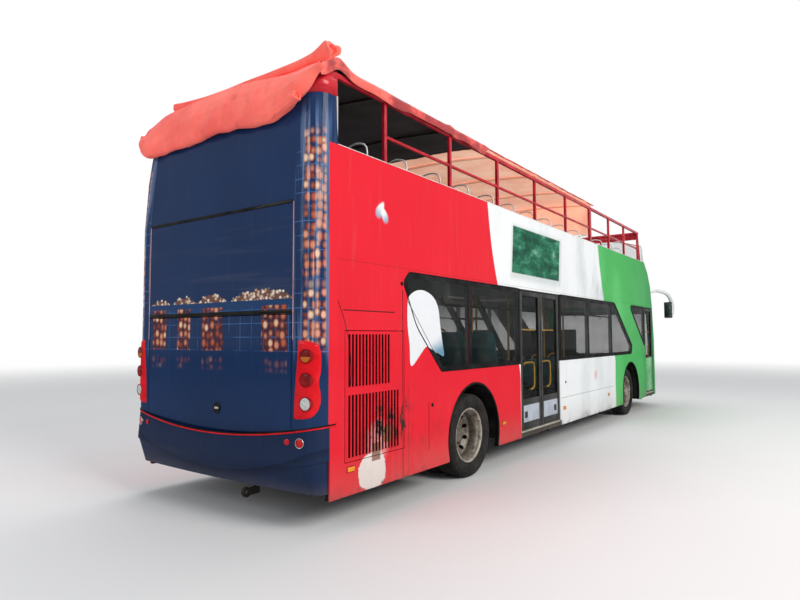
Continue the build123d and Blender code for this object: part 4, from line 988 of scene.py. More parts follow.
arch = [(-ARCH_FOOT, SKIRT_Z), (-ARCH_FOOT, FOOT_Z)]
for step in range(49):
    angle = math.radians(180 + 16.2 - step * (180 + 32.4) / 48)
    arch.append((ARCH_RADIUS * math.cos(angle), ARCH_Z + ARCH_RADIUS * math.sin(angle)))
arch += [(ARCH_FOOT, FOOT_Z), (ARCH_FOOT, SKIRT_Z)]
for side in (-1, 1):
    tubes(
        f"arch_lips_{'right' if side < 0 else 'left'}",
        [
            [(axle + x, side * (HALF - 0.004), z) for x, z in arch]
            for axle in (REAR_AXLE, FRONT_AXLE)
        ],
        0.015,
        rubber,
    )


# ---- wheels


def lathe(bm, profile, centre, axis=(0, 1, 0), steps=48, closed=False, material=0):
    """Spins (along, radius) points round an axis through centre."""
    axis = Vector(axis).normalized()
    centre = Vector(centre)
    out = axis.orthogonal().normalized()
    verts = [bm.verts.new(centre + axis * a + out * r) for a, r in profile]
    pairs = list(zip(verts, verts[1:])) + ([(verts[-1], verts[0])] if closed else [])
    edges = [bm.edges.new(pair) for pair in pairs]
    before = set(bm.faces)
    bmesh.ops.spin(
        bm, geom=verts + edges, cent=centre, axis=axis, angle=math.tau, steps=steps, use_merge=True
    )
    made = [face for face in bm.faces if face not in before]
    for face in made:
        face.material_index = material
    if any(r < 1e-6 for a, r in profile):
        bmesh.ops.remove_doubles(
            bm, verts=list({v for face in made for v in face.verts}), dist=1e-5
        )


def cut_holes(bm, depth_at, centre, out):
    """A dished ring with round hand holes: each sector is bridged from its outline to its
    hole, and the hole's edge is turned inboard."""
    rims = []
    side_steps = 8
    for index in range(HOLE_COUNT):
        start = math.tau * index / HOLE_COUNT
        end = math.tau * (index + 1) / HOLE_COUNT
        middle = (start + end) / 2
        corners = [(DISC_OUTER, start), (DISC_OUTER, end), (DISC_INNER, end), (DISC_INNER, start)]
        outline = []
        for (near_r, near_a), (far_r, far_a) in zip(corners, corners[1:] + corners[:1]):
            for step in range(side_steps):
                share = step / side_steps
                r, a = near_r + (far_r - near_r) * share, near_a + (far_a - near_a) * share
                outline.append((r * math.cos(a), r * math.sin(a)))
        hx, hz = HOLE_CIRCLE * math.cos(middle), HOLE_CIRCLE * math.sin(middle)
        loops = []
        hole = []
        for x, z in outline:
            angle = math.atan2(z - hz, x - hx)
            hole.append((hx + HOLE_RADIUS * math.cos(angle), hz + HOLE_RADIUS * math.sin(angle)))
        for points in (outline, hole):
            verts = []
            for x, z in points:
                y = centre[1] + out * depth_at(math.hypot(x, z))
                verts.append(bm.verts.new((centre[0] + x, y, centre[2] + z)))
            loops.append([bm.edges.new((verts[i - 1], verts[i])) for i in range(len(verts))])
        bmesh.ops.bridge_loops(bm, edges=loops[0] + loops[1])
        rims += loops[1]
    turned = bmesh.ops.extrude_edge_only(bm, edges=rims)["geom"]
    lips = [item for item in turned if isinstance(item, bmesh.types.BMVert)]
    place(bm, lips, Matrix.Translation((0, -out * 0.010, 0)))


# Outlines of tyre, rim and hub: distance outboard of the wheel's middle, and radius
half_tyre = [
    (0.098, 0.300), (0.104, 0.311), (0.1165, 0.322), (0.119, 0.327), (0.1235, 0.338),
    (0.1322, 0.358), (0.1335, 0.362), (0.1330, 0.366), (0.1370, 0.388), (0.1360, 0.404),
    (0.1368, 0.4065), (0.1352, 0.413), (0.1300, 0.432), (0.1275, 0.4345), (0.1265, 0.444),
    (0.1210, 0.4545), (0.1085, 0.4625), (0.098, 0.4655),
]
tread = []
for groove in (0.068, 0.023, -0.023, -0.068):
    for reach, radius in ((0.0062, 0.4672), (0.0045, 0.4560), (-0.0045, 0.4560), (-0.0062, 0.4672)):
        tread.append((groove + reach, radius))
tyre_line = half_tyre + tread + [(-y, r) for y, r in reversed(half_tyre)]
rim_line = [
    (0.098, 0.3035), (0.1035, 0.3070), (0.1090, 0.3040), (0.1092, 0.297), (0.1045, 0.289),
    (0.1000, 0.2835), (0.094, 0.2800), (0.080, 0.2775), (0.066, 0.2755), (0.058, 0.2690),
    (0.048, 0.2655), (0.0, 0.2640), (-0.050, 0.2645), (-0.075, 0.272), (-0.100, 0.279),
    (-0.1085, 0.292), (-0.1085, 0.3035), (-0.098, 0.3035), (-0.098, 0.287), (0.098, 0.287),
]
hub_line = [
    (0.0, 0.124), (0.016, 0.122), (0.021, 0.112), (0.024, 0.098), (0.052, 0.094),
    (0.060, 0.086), (0.064, 0.060), (0.066, 0.0),
]
DISC_OUTER = 0.252
DISC_INNER = 0.176
HOLE_COUNT = 10
HOLE_CIRCLE = 0.214
HOLE_RADIUS = 0.025
NUT_CIRCLE = 0.146

for axle, side, corner, centres in (
    (FRONT_AXLE, -1, "front_right", (1.06,)),
    (FRONT_AXLE, 1, "front_left", (1.06,)),
    (REAR_AXLE, -1, "rear_right", (1.087, 0.777)),
    (REAR_AXLE, 1, "rear_left", (1.087, 0.777)),
):
    front = axle == FRONT_AXLE
    body = "wheel_" + corner
    plural = "" if front else "s"
    rubber_mesh = bmesh.new()
    for centre in centres:
        line = [(y * side, r) for y, r in tyre_line]
        lathe(rubber_mesh, line, (axle, side * centre, AXLE_Z), steps=96)
    tyre = piece(f"tyre{plural}_{corner}_detail", rubber_mesh, tyre_rubber, body, 40)
    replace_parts(tyre, f"tyre{plural}_{corner}")
    metal = bmesh.new()
    for centre in centres:
        line = [(y * side, r) for y, r in rim_line]
        lathe(metal, line, (axle, side * centre, AXLE_Z), steps=96, closed=True)
    where = (axle, side * centres[0], AXLE_Z)
    # The disc stands outboard on the front wheels and deep inside the outer rear ones
    foot, face = (0.030, 0.066) if front else (-0.045, -0.098)

    def dish(radius, foot=foot, face=face):
        """How far outboard the dished disc stands at a radius."""
        return foot + (face - foot) * smooth(radius, DISC_OUTER, 0.182)

    lathe(metal, [(side * dish(r), r) for r in (0.2645, 0.258, DISC_OUTER)], where, steps=80)
    cut_holes(metal, dish, where, side)
    lathe(metal, [(side * dish(r), r) for r in (DISC_INNER, 0.15, 0.12)], where, steps=80)
    lathe(metal, [(side * (face + y), r) for y, r in hub_line], where)
    for index in range(HOLE_COUNT):
        angle = math.tau * (index + 0.5) / HOLE_COUNT
        nut_x, nut_z = NUT_CIRCLE * math.cos(angle), NUT_CIRCLE * math.sin(angle)
        spot = Vector((axle + nut_x, where[1] + side * face, AXLE_Z + nut_z))
        disc(metal, spot, (0, side, 0), 0.0165, 0.022, segments=6)
        disc(metal, spot + Vector((0, side * 0.022, 0)), (0, side, 0), 0.010, 0.016, segments=12)
    rim = piece(f"rim{plural}_{corner}_detail", metal, rim_paint, body, 32)
    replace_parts(rim, f"rim{plural}_{corner}")
    dark = bmesh.new()
    lathe(dark, [(side * (face - 0.05), 0.262), (side * (face - 0.05), 0.0)], where, steps=48)
    piece(f"wheel_back_{corner}", dark, chassis_black, body)

# Black liners in the wheel arches
liners = bmesh.new()
for axle in (REAR_AXLE, FRONT_AXLE):
    for side in (-1, 1):
        rows = [(1.226, 0.580), (1.14, 0.558), (0.62, 0.553)]

        def liner_point(u, v, axle=axle, side=side, rows=rows):
            """A liner: u round the arch, v from the side of the bus inward."""
            y, radius = rows[round(v * 2)]
            angle = math.radians(-12 + 204 * u)
            return axle + radius * math.cos(angle), side * y, ARCH_Z + radius * math.sin(angle)

        sheet_grid(liners, 60, 2, liner_point)
piece("arch_liners", liners, rubber, sharp=60)


# ---- rails and guard

RAIL_HALF = 0.02
RAIL_END = at(7.62)
POST_STATIONS = (-1.6, -0.4, 0.77, 1.96, 3.18, 4.37, 5.46, 6.49, 7.56)
JOINT_POST = 4.37

rails = bmesh.new()
for side in (-1, 1):
    y = side * RAIL_Y
    for station in POST_STATIONS:
        half = 0.045 if station == JOINT_POST else RAIL_HALF
        low = (at(station) - half, y - RAIL_HALF, 3.06)
        bar(rails, low, (at(station) + half, y + RAIL_HALF, RAIL_Z), 0.007, 3)
    low = (at(-1.61), y - 0.013, MID_RAIL_Z - 0.015)
    bar(rails, low, (RAIL_END, y + 0.013, MID_RAIL_Z + 0.015), 0.006, 3)
    low = (at(-2.47), y - RAIL_HALF, RAIL_Z - 0.025)
    bar(rails, low, (RAIL_END, y + RAIL_HALF, RAIL_Z + 0.025), 0.009, 3)
    brace = Matrix.Translation((at(7.665), y, (RAIL_Z + PARAPET_Z) / 2))
    lean = brace @ Matrix.Rotation(math.radians(-14), 4, "Y")
    bar(rails, (-0.016, -0.013, -0.31), (0.016, 0.013, 0.31), 0.005, matrix=lean)
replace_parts(piece("rails_detail", rails, rail_paint), "side_rails")

guard = bmesh.new()
gx = at(7.59)
gy = RAIL_Y - RAIL_HALF
bar(guard, (gx - 0.02, -gy, RAIL_Z - 0.025), (gx + 0.02, gy, RAIL_Z + 0.025), 0.008, 3)
bar(guard, (gx - 0.015, -gy, 3.71), (gx + 0.015, gy, 3.74), 0.006)
bar(guard, (gx - 0.003, -gy, 3.74), (gx + 0.003, gy, RAIL_Z - 0.025), 0.001)
for y in (-0.4, 0.4):
    bar(guard, (gx - 0.02, y - 0.02, DECK_Z), (gx + 0.02, y + 0.02, RAIL_Z), 0.007)
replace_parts(piece("guard_detail", guard, rail_paint), "front_guard")


def corner_point(distance, face, half, radius, z, stand=0.0):
    """A point round the tail: distance from the centreline along its outline."""
    flat = half - radius
    side = 1 if distance > 0 else -1
    reach = abs(distance)
    centre_x = at(face) + radius
    if reach <= flat:
        return at(face) - stand, side * reach, z
    angle = min((reach - flat) / radius, math.pi / 2)
    extra = max(0.0, reach - flat - radius * math.pi / 2)
    r = radius + stand
    return centre_x - r * math.cos(angle) + extra, side * (flat + r * math.sin(angle)), z


# Red caps on the rear pillars, shells on the corner's outline
caps = bmesh.new()
for side in (-1, 1):

    def cap_point(u, v, side=side):
        """A cap: u round the corner, v up."""
        around, z = side * (1.012 + 0.39 * u), 3.641 + 0.184 * v
        return corner_point(around, TAIL + 0.08, HALF - 0.03, TAIL_RADIUS, z, -0.002)

    sheet_grid(caps, 28, 2, cap_point)
thicken(piece("pillar_caps", caps, cap_paint, sharp=60), 0.036)


# ---- roof canvas

BOW_TOP = 3.90
BOW_SPAN = 1.22
RISE = 0.075
FOLD_X = at(-2.545)
FOLD_Z = 3.872
LAST_BOW = at(-2.30)
ROOF_SHARE = 0.82
HALF_ROOF = 1.245
BAND = 0.085
DOUBLED = 0.38

bow_places = [at(s) for s in (-2.3, -1.6, -0.4, 0.77, 1.96, 3.18, 4.37)]
roof_front = at(4.44)

# The flap's fall: share of its length, x and z from the fold, ending in the rolled hem
fall = [
    (0.00, 0.000, 0.000),
    (0.12, -0.026, -0.045),
    (0.28, -0.062, -0.115),
    (0.45, -0.090, -0.200),
    (0.62, -0.100, -0.290),
    (0.78, -0.092, -0.370),
    (0.86, -0.082, -0.415),
    (0.90, -0.066, -0.436),
    (0.94, -0.040, -0.438),
    (0.97, -0.024, -0.422),
    (1.00, -0.026, -0.400),
]
# How much of the full fall hangs at each place across the bus
hang = [
    (-1.34, 0.14), (-1.245, 0.26), (-1.17, 0.46), (-1.08, 0.60), (-0.98, 0.72), (-0.86, 0.87),
    (-0.74, 0.98), (-0.5, 1.02), (0.0, 1.0), (0.5, 1.03), (0.95, 0.98), (1.15, 0.86),
    (1.27, 0.66), (1.34, 0.45),
]


def crown(y, rise=RISE):
    """How far the arch of the bows stands up at a place across the bus."""
    return rise * max(0.0, 1.0 - (y / BOW_SPAN) ** 2)


def fold_height(y):
    """Height of the fold at the tail: the crown of the bows, lower towards both ends."""
    right = 0.035 * smooth(-y, 0.95, 1.24) - 0.045 * smooth(-y, 0.1, 0.9)
    return FOLD_Z + crown(y, 0.062) + right - 0.055 * smooth(y, 0.90, 1.245)


def canvas_point(u, v):
    """The roof canvas: u from its front edge to the flap's hem, v across from hem to hem."""
    across = (v * 2 - 1) * (HALF_ROOF + BAND)
    side = 1 if across > 0 else -1
    over = max(0.0, abs(across) - HALF_ROOF)
    inner = side * min(abs(across), HALF_ROOF)
    if u <= ROOF_SHARE:
        x = roof_front + (FOLD_X - roof_front) * (u / ROOF_SHARE)
        behind = smooth(x, LAST_BOW, FOLD_X)
        gap = min(abs(x - bow) for bow in bow_places)
        slack = min(1.0, gap / 0.45) * (1 - (inner / 1.25) ** 2)
        z = BOW_TOP + 0.012 + crown(inner) - 0.022 * slack
        z += (fold_height(inner) - z) * behind
        doubled = smooth(x, at(DOUBLED + 0.06), at(DOUBLED - 0.02))
        ridge = 0.4 * math.exp(-(((x - at(DOUBLED)) / 0.045) ** 2))
        ridge += math.exp(-(((x - at(-0.45)) / 0.060) ** 2)) * smooth(-inner, 0.4, 1.1)
        z += 0.010 * doubled + 0.026 * ridge * (0.7 + lumps(0, inner, 0, 0.3, 0.6, 2.0))
        z += lumps(x, inner, 0, 0.33, 0.007, 3.1) + lumps(x, inner * 0.4, 0, 0.11, 0.0025, 6.1)
        length = 0.022 + 0.083 * doubled
        length += lumps(x, side, 0, 0.35, 0.030 * doubled + 0.008, 1.7)
        share = over / BAND
        if side > 0:
            length += 0.095 * behind
        z += 0.075 * math.exp(-(((x - at(-2.30)) / 0.13) ** 2)) * smooth(-inner, 0.95, 1.24)
        fold_out = 0.014 * math.sin(min(1.0, share * 1.4) * math.pi)
        fold_out += lumps(x, side * 3, share, 0.13, 0.010, 7.7) * share
        return x, side * (min(abs(across), HALF_ROOF) + fold_out), z - share * length
    share = (u - ROOF_SHARE) / (1 - ROOF_SHARE)
    depth = along(hang, across)[0]
    run, drop = along(fall, share)
    edge = smooth(share, 0.0, 0.35)
    bulge = 0.020 * math.exp(-(((across + 1.05) / 0.12) ** 2)) * math.sin(share * math.pi)
    ripple = lumps(0, across, share * 0.5, 0.26, 0.034, 5.5)
    ripple += lumps(0, across, share * 0.4, 0.09, 0.012, 9.1)
    x = FOLD_X + run * (0.55 + 0.45 * depth) - bulge + ripple * smooth(share, 0.05, 0.5)
    z = fold_height(inner) + drop * depth + lumps(0, across, 0, 0.4, 0.010, 4.4) * share
    z -= over * (2.3 if side > 0 else 0.9) * (1 - edge)
    tuck = 0.03 * share * share if side > 0 else 0.0
    y = side * (min(abs(across), HALF_ROOF) + over * (0.15 + 0.75 * edge)) - tuck * side
    return x, y, z


roof = bmesh.new()
sheet_grid(roof, 190, 96, canvas_point)
canvas = piece("roof_canvas", roof, [canvas_under, canvas_top], sharp=180)
thick = thicken(canvas, 0.006, 1.0)
thick.material_offset = 1
thick.material_offset_rim = 0
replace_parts(canvas, "roof_canopy")


def curtain_point(u, v):
    """The curtain on the front bow, loose towards its foot."""
    y = (u * 2 - 1) * 1.172
    head = BOW_TOP + 0.004 + crown(y)
    foot = 3.395 + lumps(0, y, 0, 0.5, 0.02, 3.3)
    z = foot + (head - foot) * v
    loose = 1 - v * 0.85
    waves = lumps(0, y, z * 0.25, 0.20, 0.022, 2.2) + lumps(0, y, z * 0.12, 0.07, 0.008, 6.0)
    return at(4.432) + waves * loose, y, z


hang_down = bmesh.new()
sheet_grid(hang_down, 110, 26, curtain_point)
curtain = piece("front_curtain", hang_down, canvas_peach, sharp=180)
thicken(curtain, 0.004, 0.0)


def wind_up(bm, end_y, radius):
    """Turns the open right end of a tube of cloth inward and winds it up to its middle,
    then closes what is left open."""
    turns = ((0.90, 0.0), (0.78, 0.17), (0.76, 0.71), (0.55, 0.74), (0.42, 0.29))
    for share, inward in turns + ((0.30, 0.31), (0.12, 0.64)):
        rim = [edge for edge in bm.edges if edge.is_boundary and edge.verts[0].co.y < end_y + 0.15]
        grown = bmesh.ops.extrude_edge_only(bm, edges=rim)["geom"]
        turned = [item for item in grown if isinstance(item, bmesh.types.BMVert)]
        hub = sum((vert.co for vert in turned), Vector()) / len(turned)
        reach = max((vert.co - hub).length for vert in turned)
        for vert in turned:
            out = vert.co - hub
            vert.co = hub + out * (share * radius / max(0.001, reach))
            vert.co.y = end_y + inward * radius + 0.35 * out.y
    bmesh.ops.holes_fill(bm, edges=[edge for edge in bm.edges if edge.is_boundary], sides=0)


# The spare cloth at the tail: a loose roll on the last bow
roll = bmesh.new()


def roll_point(u, v):
    """The roll, slack in its middle, flared at its right end and drawn in at its left."""
    angle = math.tau * u
    y = -1.195 + 2.28 * v
    slack = 1.0 - ((v - 0.5) / 0.5) ** 4
    ends = 0.026 * smooth(v, 0.987, 1.0)
    flare = 0.020 * smooth(v, 0.10, 0.0) * (1.0 + 0.5 * math.sin(3 * angle + 0.6))
    radius = 0.060 - 0.014 * slack - ends + flare + lumps(0, y, 0, 0.4, 0.008, 4.0)
    crumple = 1.0 + 0.8 * smooth(v, 0.2, 0.0)
    radius += lumps(math.cos(angle), y * 0.35, math.sin(angle), 0.55, 0.012, 8.0) * crumple
    radius += 0.005 * smooth(math.sin(angle + 1.1 + y * 0.15), 0.90, 1.0)
    z = 4.062 - 0.040 * slack
    y -= 0.030 * smooth(v, 0.05, 0.0) * math.sin(2 * angle + 0.8)
    return at(-2.33) + radius * math.cos(angle) * 0.95, y, z + radius * math.sin(angle)


sheet_grid(roll, 44, 110, roll_point)
bmesh.ops.remove_doubles(roll, verts=roll.verts, dist=0.0004)
wind_up(roll, -1.205, 0.070)
piece("canvas_roll", roll, canvas_top, sharp=60)

# The flap's cut corner is turned up into a small curl
curl = bmesh.new()


def curl_point(u, v):
    """The curl, a cone that rises and widens towards the right."""
    angle = math.tau * u
    radius = 0.010 + 0.036 * smooth(v, 0.0, 0.9)
    radius += lumps(math.cos(angle), v * 2, math.sin(angle), 0.6, 0.016, 5.2)
    across, up = radius * math.cos(angle), radius * math.sin(angle)
    y = -0.78 - 0.30 * v - 0.012 * v * math.sin(3 * angle)
    z = 3.456 + 0.125 * v + 0.022 * math.sin(v * 2.6)
    return at(-2.635) + across, y + 0.4 * up, z + up


sheet_grid(curl, 28, 30, curl_point)
bmesh.ops.remove_doubles(curl, verts=curl.verts, dist=0.0004)
wind_up(curl, -1.085, 0.040)
piece("flap_curl", curl, canvas_top, sharp=60)


def fold_point(u, v):
    """The doubled cloth that rises from the roof to the roll."""
    y = -1.17 + 2.23 * u
    foot = BOW_TOP + 0.014 + crown(y)
    top = 4.035 - 0.040 * (1.0 - (y / 1.15) ** 4)
    z = foot + (top - foot) * v
    spread = 0.052 * (1 - v) ** 1.6
    x = at(-2.33) - spread - 0.02 * v + lumps(0, y, v * 0.2, 0.18, 0.010, 1.9)
    return x, y, z


fold = bmesh.new()
sheet_grid(fold, 90, 10, fold_point)
fold_piece = piece("roll_fold", fold, canvas_top, sharp=180)
thicken(fold_piece, 0.006)


# ---- seats

BENCH_Y = 0.74
SEAT_Y = 0.22
FIRST_ROW = -1.64
ROW_PITCH = 0.648
STAIR_WELL = (2.53, 5.15)

# The shell's line from the seat's front edge to the head of the back: x and z
seat_line = [
    (0.430, 0.410), (0.426, 0.436), (0.36, 0.444), (0.22, 0.434), (0.10, 0.436), (0.035, 0.460),
    (-0.004, 0.53), (-0.030, 0.62), (-0.055, 0.73), (-0.076, 0.82), (-0.088, 0.862),
    (-0.102, 0.880),
]


def seat_template():
    """A twin seat of moulded shells facing forward, its origin under the foot of the back."""
    bm = bmesh.new()
    line = curve_through([(x, 0, z) for x, z in seat_line], 4)
    for centre in (-SEAT_Y, SEAT_Y):

        def shell(u, v, centre=centre):
            """One shell: u along its line, v across, with its sides turned up."""
            spot = line[round(u * (len(line) - 1))]
            side = abs(v * 2 - 1)
            dish = 0.024 * smooth(side, 0.55, 1.0)
            up = smooth(spot.z, 0.44, 0.55)
            pinch = 1.0 - 0.10 * smooth(spot.z, 0.74, 0.88)
            x = min(0.428, spot.x + dish * up)
            z = spot.z + dish * (1 - up) * 0.5
            return x, centre + (v * 2 - 1) * 0.206 * pinch, min(z, 0.883)

        sheet_grid(bm, len(line) - 1, 14, shell)
    return bm


def copies(template, spots, name, material):
    """One piece with the template repeated at each spot."""
    mesh = bpy.data.meshes.new(name + "_one")
    template.to_mesh(mesh)
    joined = bmesh.new()
    for spot in spots:
        start = len(joined.verts)
        joined.from_mesh(mesh)
        joined.verts.ensure_lookup_table()
        place(joined, joined.verts[start:], Matrix.Translation(spot))
    bpy.data.meshes.remove(mesh)
    return piece(name, joined, material, sharp=50)


def seat_frames(spots, name):
    """A beam, a post and a foot under each bench."""
    frames = bmesh.new()
    for x, y, z in spots:
        bar(frames, (x + 0.04, y - 0.41, z + 0.375), (x + 0.34, y + 0.41, z + 0.399), 0.006)
        bar(frames, (x + 0.150, y - 0.025, z), (x + 0.230, y + 0.025, z + 0.376), 0.010)
        bar(frames, (x + 0.06, y - 0.08, z), (x + 0.32, y + 0.08, z + 0.012), 0.003)
    piece(name, frames, black_paint)


# Rows of the open deck, which leave out those over the stairs on the left
upper_spots = []
for row in range(14):
    station = FIRST_ROW + row * ROW_PITCH
    for side in (-1, 1):
        if not (side == 1 and STAIR_WELL[0] < station < STAIR_WELL[1]):
            upper_spots.append(Vector((at(station), side * BENCH_Y, DECK_Z)))
shells = copies(seat_template(), upper_spots, "upper_seat_shells", shell_grey)
thicken(shells, 0.016)
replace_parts(shells, "upper_seats")
seat_frames(upper_spots, "upper_seat_frames")
half_loop = [(-0.138, 0.868), (-0.138, 0.95), (-0.130, 0.995), (-0.10, 1.028), (-0.05, 1.045)]
arch_line = half_loop + [(0.0, 1.050)] + [(-y, z) for y, z in reversed(half_loop)]
loop_paths = [
    [(spot.x - 0.096, spot.y + centre + y, spot.z + z) for y, z in arch_line]
    for spot in upper_spots
    for centre in (-SEAT_Y, SEAT_Y)
]
tubes("hand_loops", loop_paths, 0.0095, white_shell)

lower_spots = [
    Vector((at(station), side * BENCH_Y, foot))
    for side, foot, stations in (
        (-1, PLATFORM_Z, (-1.18, 0.77)),
        (-1, FLOOR_Z, (3.2, 3.95, 4.7)),
        (1, PLATFORM_Z, (-1.18, 0.77)),
        (1, FLOOR_Z, (1.45, 2.2)),
    )
    for station in stations
]
lower_shells = copies(seat_template(), lower_spots, "lower_seat_shells", seat_teal)
thicken(lower_shells, 0.016)
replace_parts(lower_shells, "lower_seats")
seat_frames(lower_spots, "lower_seat_frames")
grip_line = [
    (-0.075, 0.0, 0.66), (-0.125, 0.0, 0.76), (-0.135, 0.0, 0.86), (-0.125, -0.03, 0.915),
    (-0.112, -0.10, 0.930), (-0.105, -0.17, 0.890),
]
grips = []
for spot in lower_spots:
    inward = -1 if spot.y > 0 else 1
    aisle = spot.y + inward * 0.425
    bent = [(spot.x + x, aisle + inward * y, spot.z + z) for x, y, z in grip_line]
    grips.append(curve_through(bent, 5))
tubes("seat_grips", grips, 0.013, yellow_paint)


def cushion(bm, half_width, half_length, depth, matrix):
    """A crowned closed pad, its sides drawn in between its corners."""
    start = len(bm.verts)
    corners = bmesh.ops.create_cube(bm, size=2.0)["verts"]
    edges = list({edge for vert in corners for edge in vert.link_edges})
    bmesh.ops.subdivide_edges(bm, edges=edges, cuts=9, use_grid_fill=True)
    bm.verts.ensure_lookup_table()
    verts = bm.verts[start:]
    for vert in verts:
        x, y, z = vert.co
        crown = (1 - abs(x) ** 3) * (1 - abs(y) ** 3)
        rise = z * depth * (0.30 + 0.70 * crown) if z > 0 else z * depth * 0.12
        waist = 0.03 * (1 - z * z)
        long = x * half_length * (1 - 0.035 * (1 - y * y) + waist)
        wide = y * half_width * (1 - 0.030 * (1 - x * x) + waist)
        vert.co = (long, wide, rise)
    place(bm, verts, matrix)


pads = bmesh.new()
for spot in lower_spots:
    for centre in (-SEAT_Y, SEAT_Y):
        for x, z, tilt, half_width, half_length, depth in (
            (0.225, 0.440, -1, 0.165, 0.165, 0.022),
            (-0.028, 0.665, 76.5, 0.160, 0.155, 0.020),
        ):
            turn = Matrix.Rotation(math.radians(tilt), 4, "Y")
            lie = Matrix.Translation(spot + Vector((x, centre, z))) @ turn
            cushion(pads, half_width, half_length, depth, lie)
piece("lower_seat_pads", pads, moquette, sharp=180)


# ---- doors

FRAME = 0.062
low_y, high_y = -1.265, -1.2255
foot, head = 0.352, 2.196

# Name, ends, body, foot of the glass, and the places of badge and handrail on a middle leaf
for name, start, end, body, light, badge, hold in (
    ("middle_door_rear_leaf", 1.262, 1.924, "middle_door_rear", 0.76, 1.41, (1.49, 1.83)),
    ("middle_door_front_leaf", 1.936, 2.598, "middle_door_front", 0.76, 2.43, (2.07, 2.41)),
    ("front_door_leaf", 7.722, 8.358, "front_door", 1.13, None, None),
):
    # Each bar of the leaf: stations, planes, heights, edge radius and steps, material
    bars = [
        (start, start + FRAME, low_y, high_y, foot, head, 0.006, 3, 0),
        (end - FRAME, end, low_y, high_y, foot, head, 0.006, 3, 0),
        (start + 0.05, end - 0.05, low_y + 0.002, high_y - 0.002, head - FRAME, head, 0.004, 2, 0),
        (start + 0.05, end - 0.05, low_y + 0.002, high_y - 0.002, foot, light, 0.004, 2, 0),
        (start + 0.055, end - 0.055, -1.249, -1.241, light - 0.01, head - 0.05, 0.001, 1, 1),
    ]
    if badge:
        bars += [
            (start + 0.075, end - 0.075, low_y - 0.003, low_y + 0.004, 0.455, 0.675, 0.003, 2, 2),
            (badge - 0.045, badge + 0.045, low_y - 0.006, low_y, 0.51, 0.595, 0.003, 2, 0),
        ]
    else:
        bars += [
            (start + 0.03, end - 0.03, low_y - 0.004, low_y + 0.004, 0.385, 1.105, 0.004, 2, 3)
        ]
    # Rubber edges that meet in the middle, and the seals of the glass
    for near, far in ((start - 0.001, start + 0.006), (end - 0.006, end + 0.001)):
        bars.append((near, far, -1.262, -1.228, foot + 0.01, head - 0.01, 0.002, 2, 4))
    for z in (light, head - FRAME):
        bars.append((start + 0.058, end - 0.058, -1.262, -1.247, z - 0.007, z + 0.007, 0.003, 2, 4))
    for s in (start + FRAME, end - FRAME):
        bars.append((s - 0.007, s + 0.007, -1.262, -1.247, light, head - FRAME, 0.003, 2, 4))
    leaf = bmesh.new()
    for near, far, out, inward, low, high, bevel, segments, material in bars:
        corners = (at(near), out, low), (at(far), inward, high)
        bar(leaf, *corners, bevel, segments, material=material)
    finishes = [door_black, door_glass, kick_grey, green_panel, rubber]
    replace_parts(piece(f"{name}_detail", leaf, finishes, body), name)
    # Yellow handrail on the inner face
    if hold:
        near, far = hold
        rail = [
            (near, 1.205), (near + 0.05, 1.23), (far - 0.06, 1.23), (far, 1.17), (far, 0.93),
            (far - 0.05, 0.875), (far - 0.14, 0.865),
        ]
    else:
        mid = (start + end) / 2
        rail = [
            (mid - 0.16, 1.30), (mid - 0.14, 1.34), (mid + 0.12, 1.34), (mid + 0.16, 1.28),
            (mid + 0.16, 0.98), (mid + 0.12, 0.93),
        ]
    path = curve_through([(at(s), -1.206, z) for s, z in rail], 6)
    tubes(f"{name}_rail", [path], 0.0125, yellow_paint, body)
    level_bar = [(at(start + 0.07), -1.211, 1.68), (at(end - 0.07), -1.211, 1.68)]
    tubes(f"{name}_bar", [level_bar], 0.011, yellow_paint, body)

sills = bmesh.new()
for start, end in ((1.25, 2.61), (7.71, 8.37)):
    bar(sills, (at(start), -1.262, 0.334), (at(end), -1.15, 0.350), 0.003)
    bar(sills, (at(start), -1.2745, 0.318), (at(end), -1.2625, 0.345), 0.003)
piece("door_sills", sills, alloy)


# ---- tail details

BUMPER_BOW = 0.045
EDGE_HALF = 1.46


def bumper_x(y, stand=0.0, z=0.88):
    """The bumper's face at a place across the bus and a height."""
    radius = (TAIL_BEND**2 + BUMPER_BOW**2) / (2 * BUMPER_BOW)
    middle = along([(0.33, -2.600), (0.56, -2.690), (0.88, -2.665)], z)[0]
    return at(middle) + radius - math.sqrt(radius**2 - min(abs(y), TAIL_BEND) ** 2) - stand


def bumper_edge(y, lift):
    """A point on the bumper's top edge, lift above it, round the corners too."""
    if abs(y) <= TAIL_BEND:
        z = 0.755 + 0.0752 * y * y + lift
        return bumper_x(y, 0.002, z), y, z
    side = 1 if y > 0 else -1
    angle = min((abs(y) - TAIL_BEND) / TAIL_RADIUS, math.pi / 2)
    extra = max(0.0, abs(y) - TAIL_BEND - TAIL_RADIUS * math.pi / 2)
    reach = TAIL_BEND + 0.162 * math.sin(angle)
    x = at(TAIL) + TAIL_RADIUS - 0.162 * math.cos(angle) + extra
    return x, side * reach, 0.755 + 0.0752 * reach * reach + lift


for name, lift, radius, material in (
    ("bumper_pinstripe", -0.010, 0.0065, lamp_red),
    ("bumper_gap", 0.002, 0.005, rubber),
):
    line = [bumper_edge(EDGE_HALF * (k / 60 - 1), lift) for k in range(121)]
    tubes(name, [line], radius, material, resolution=2)

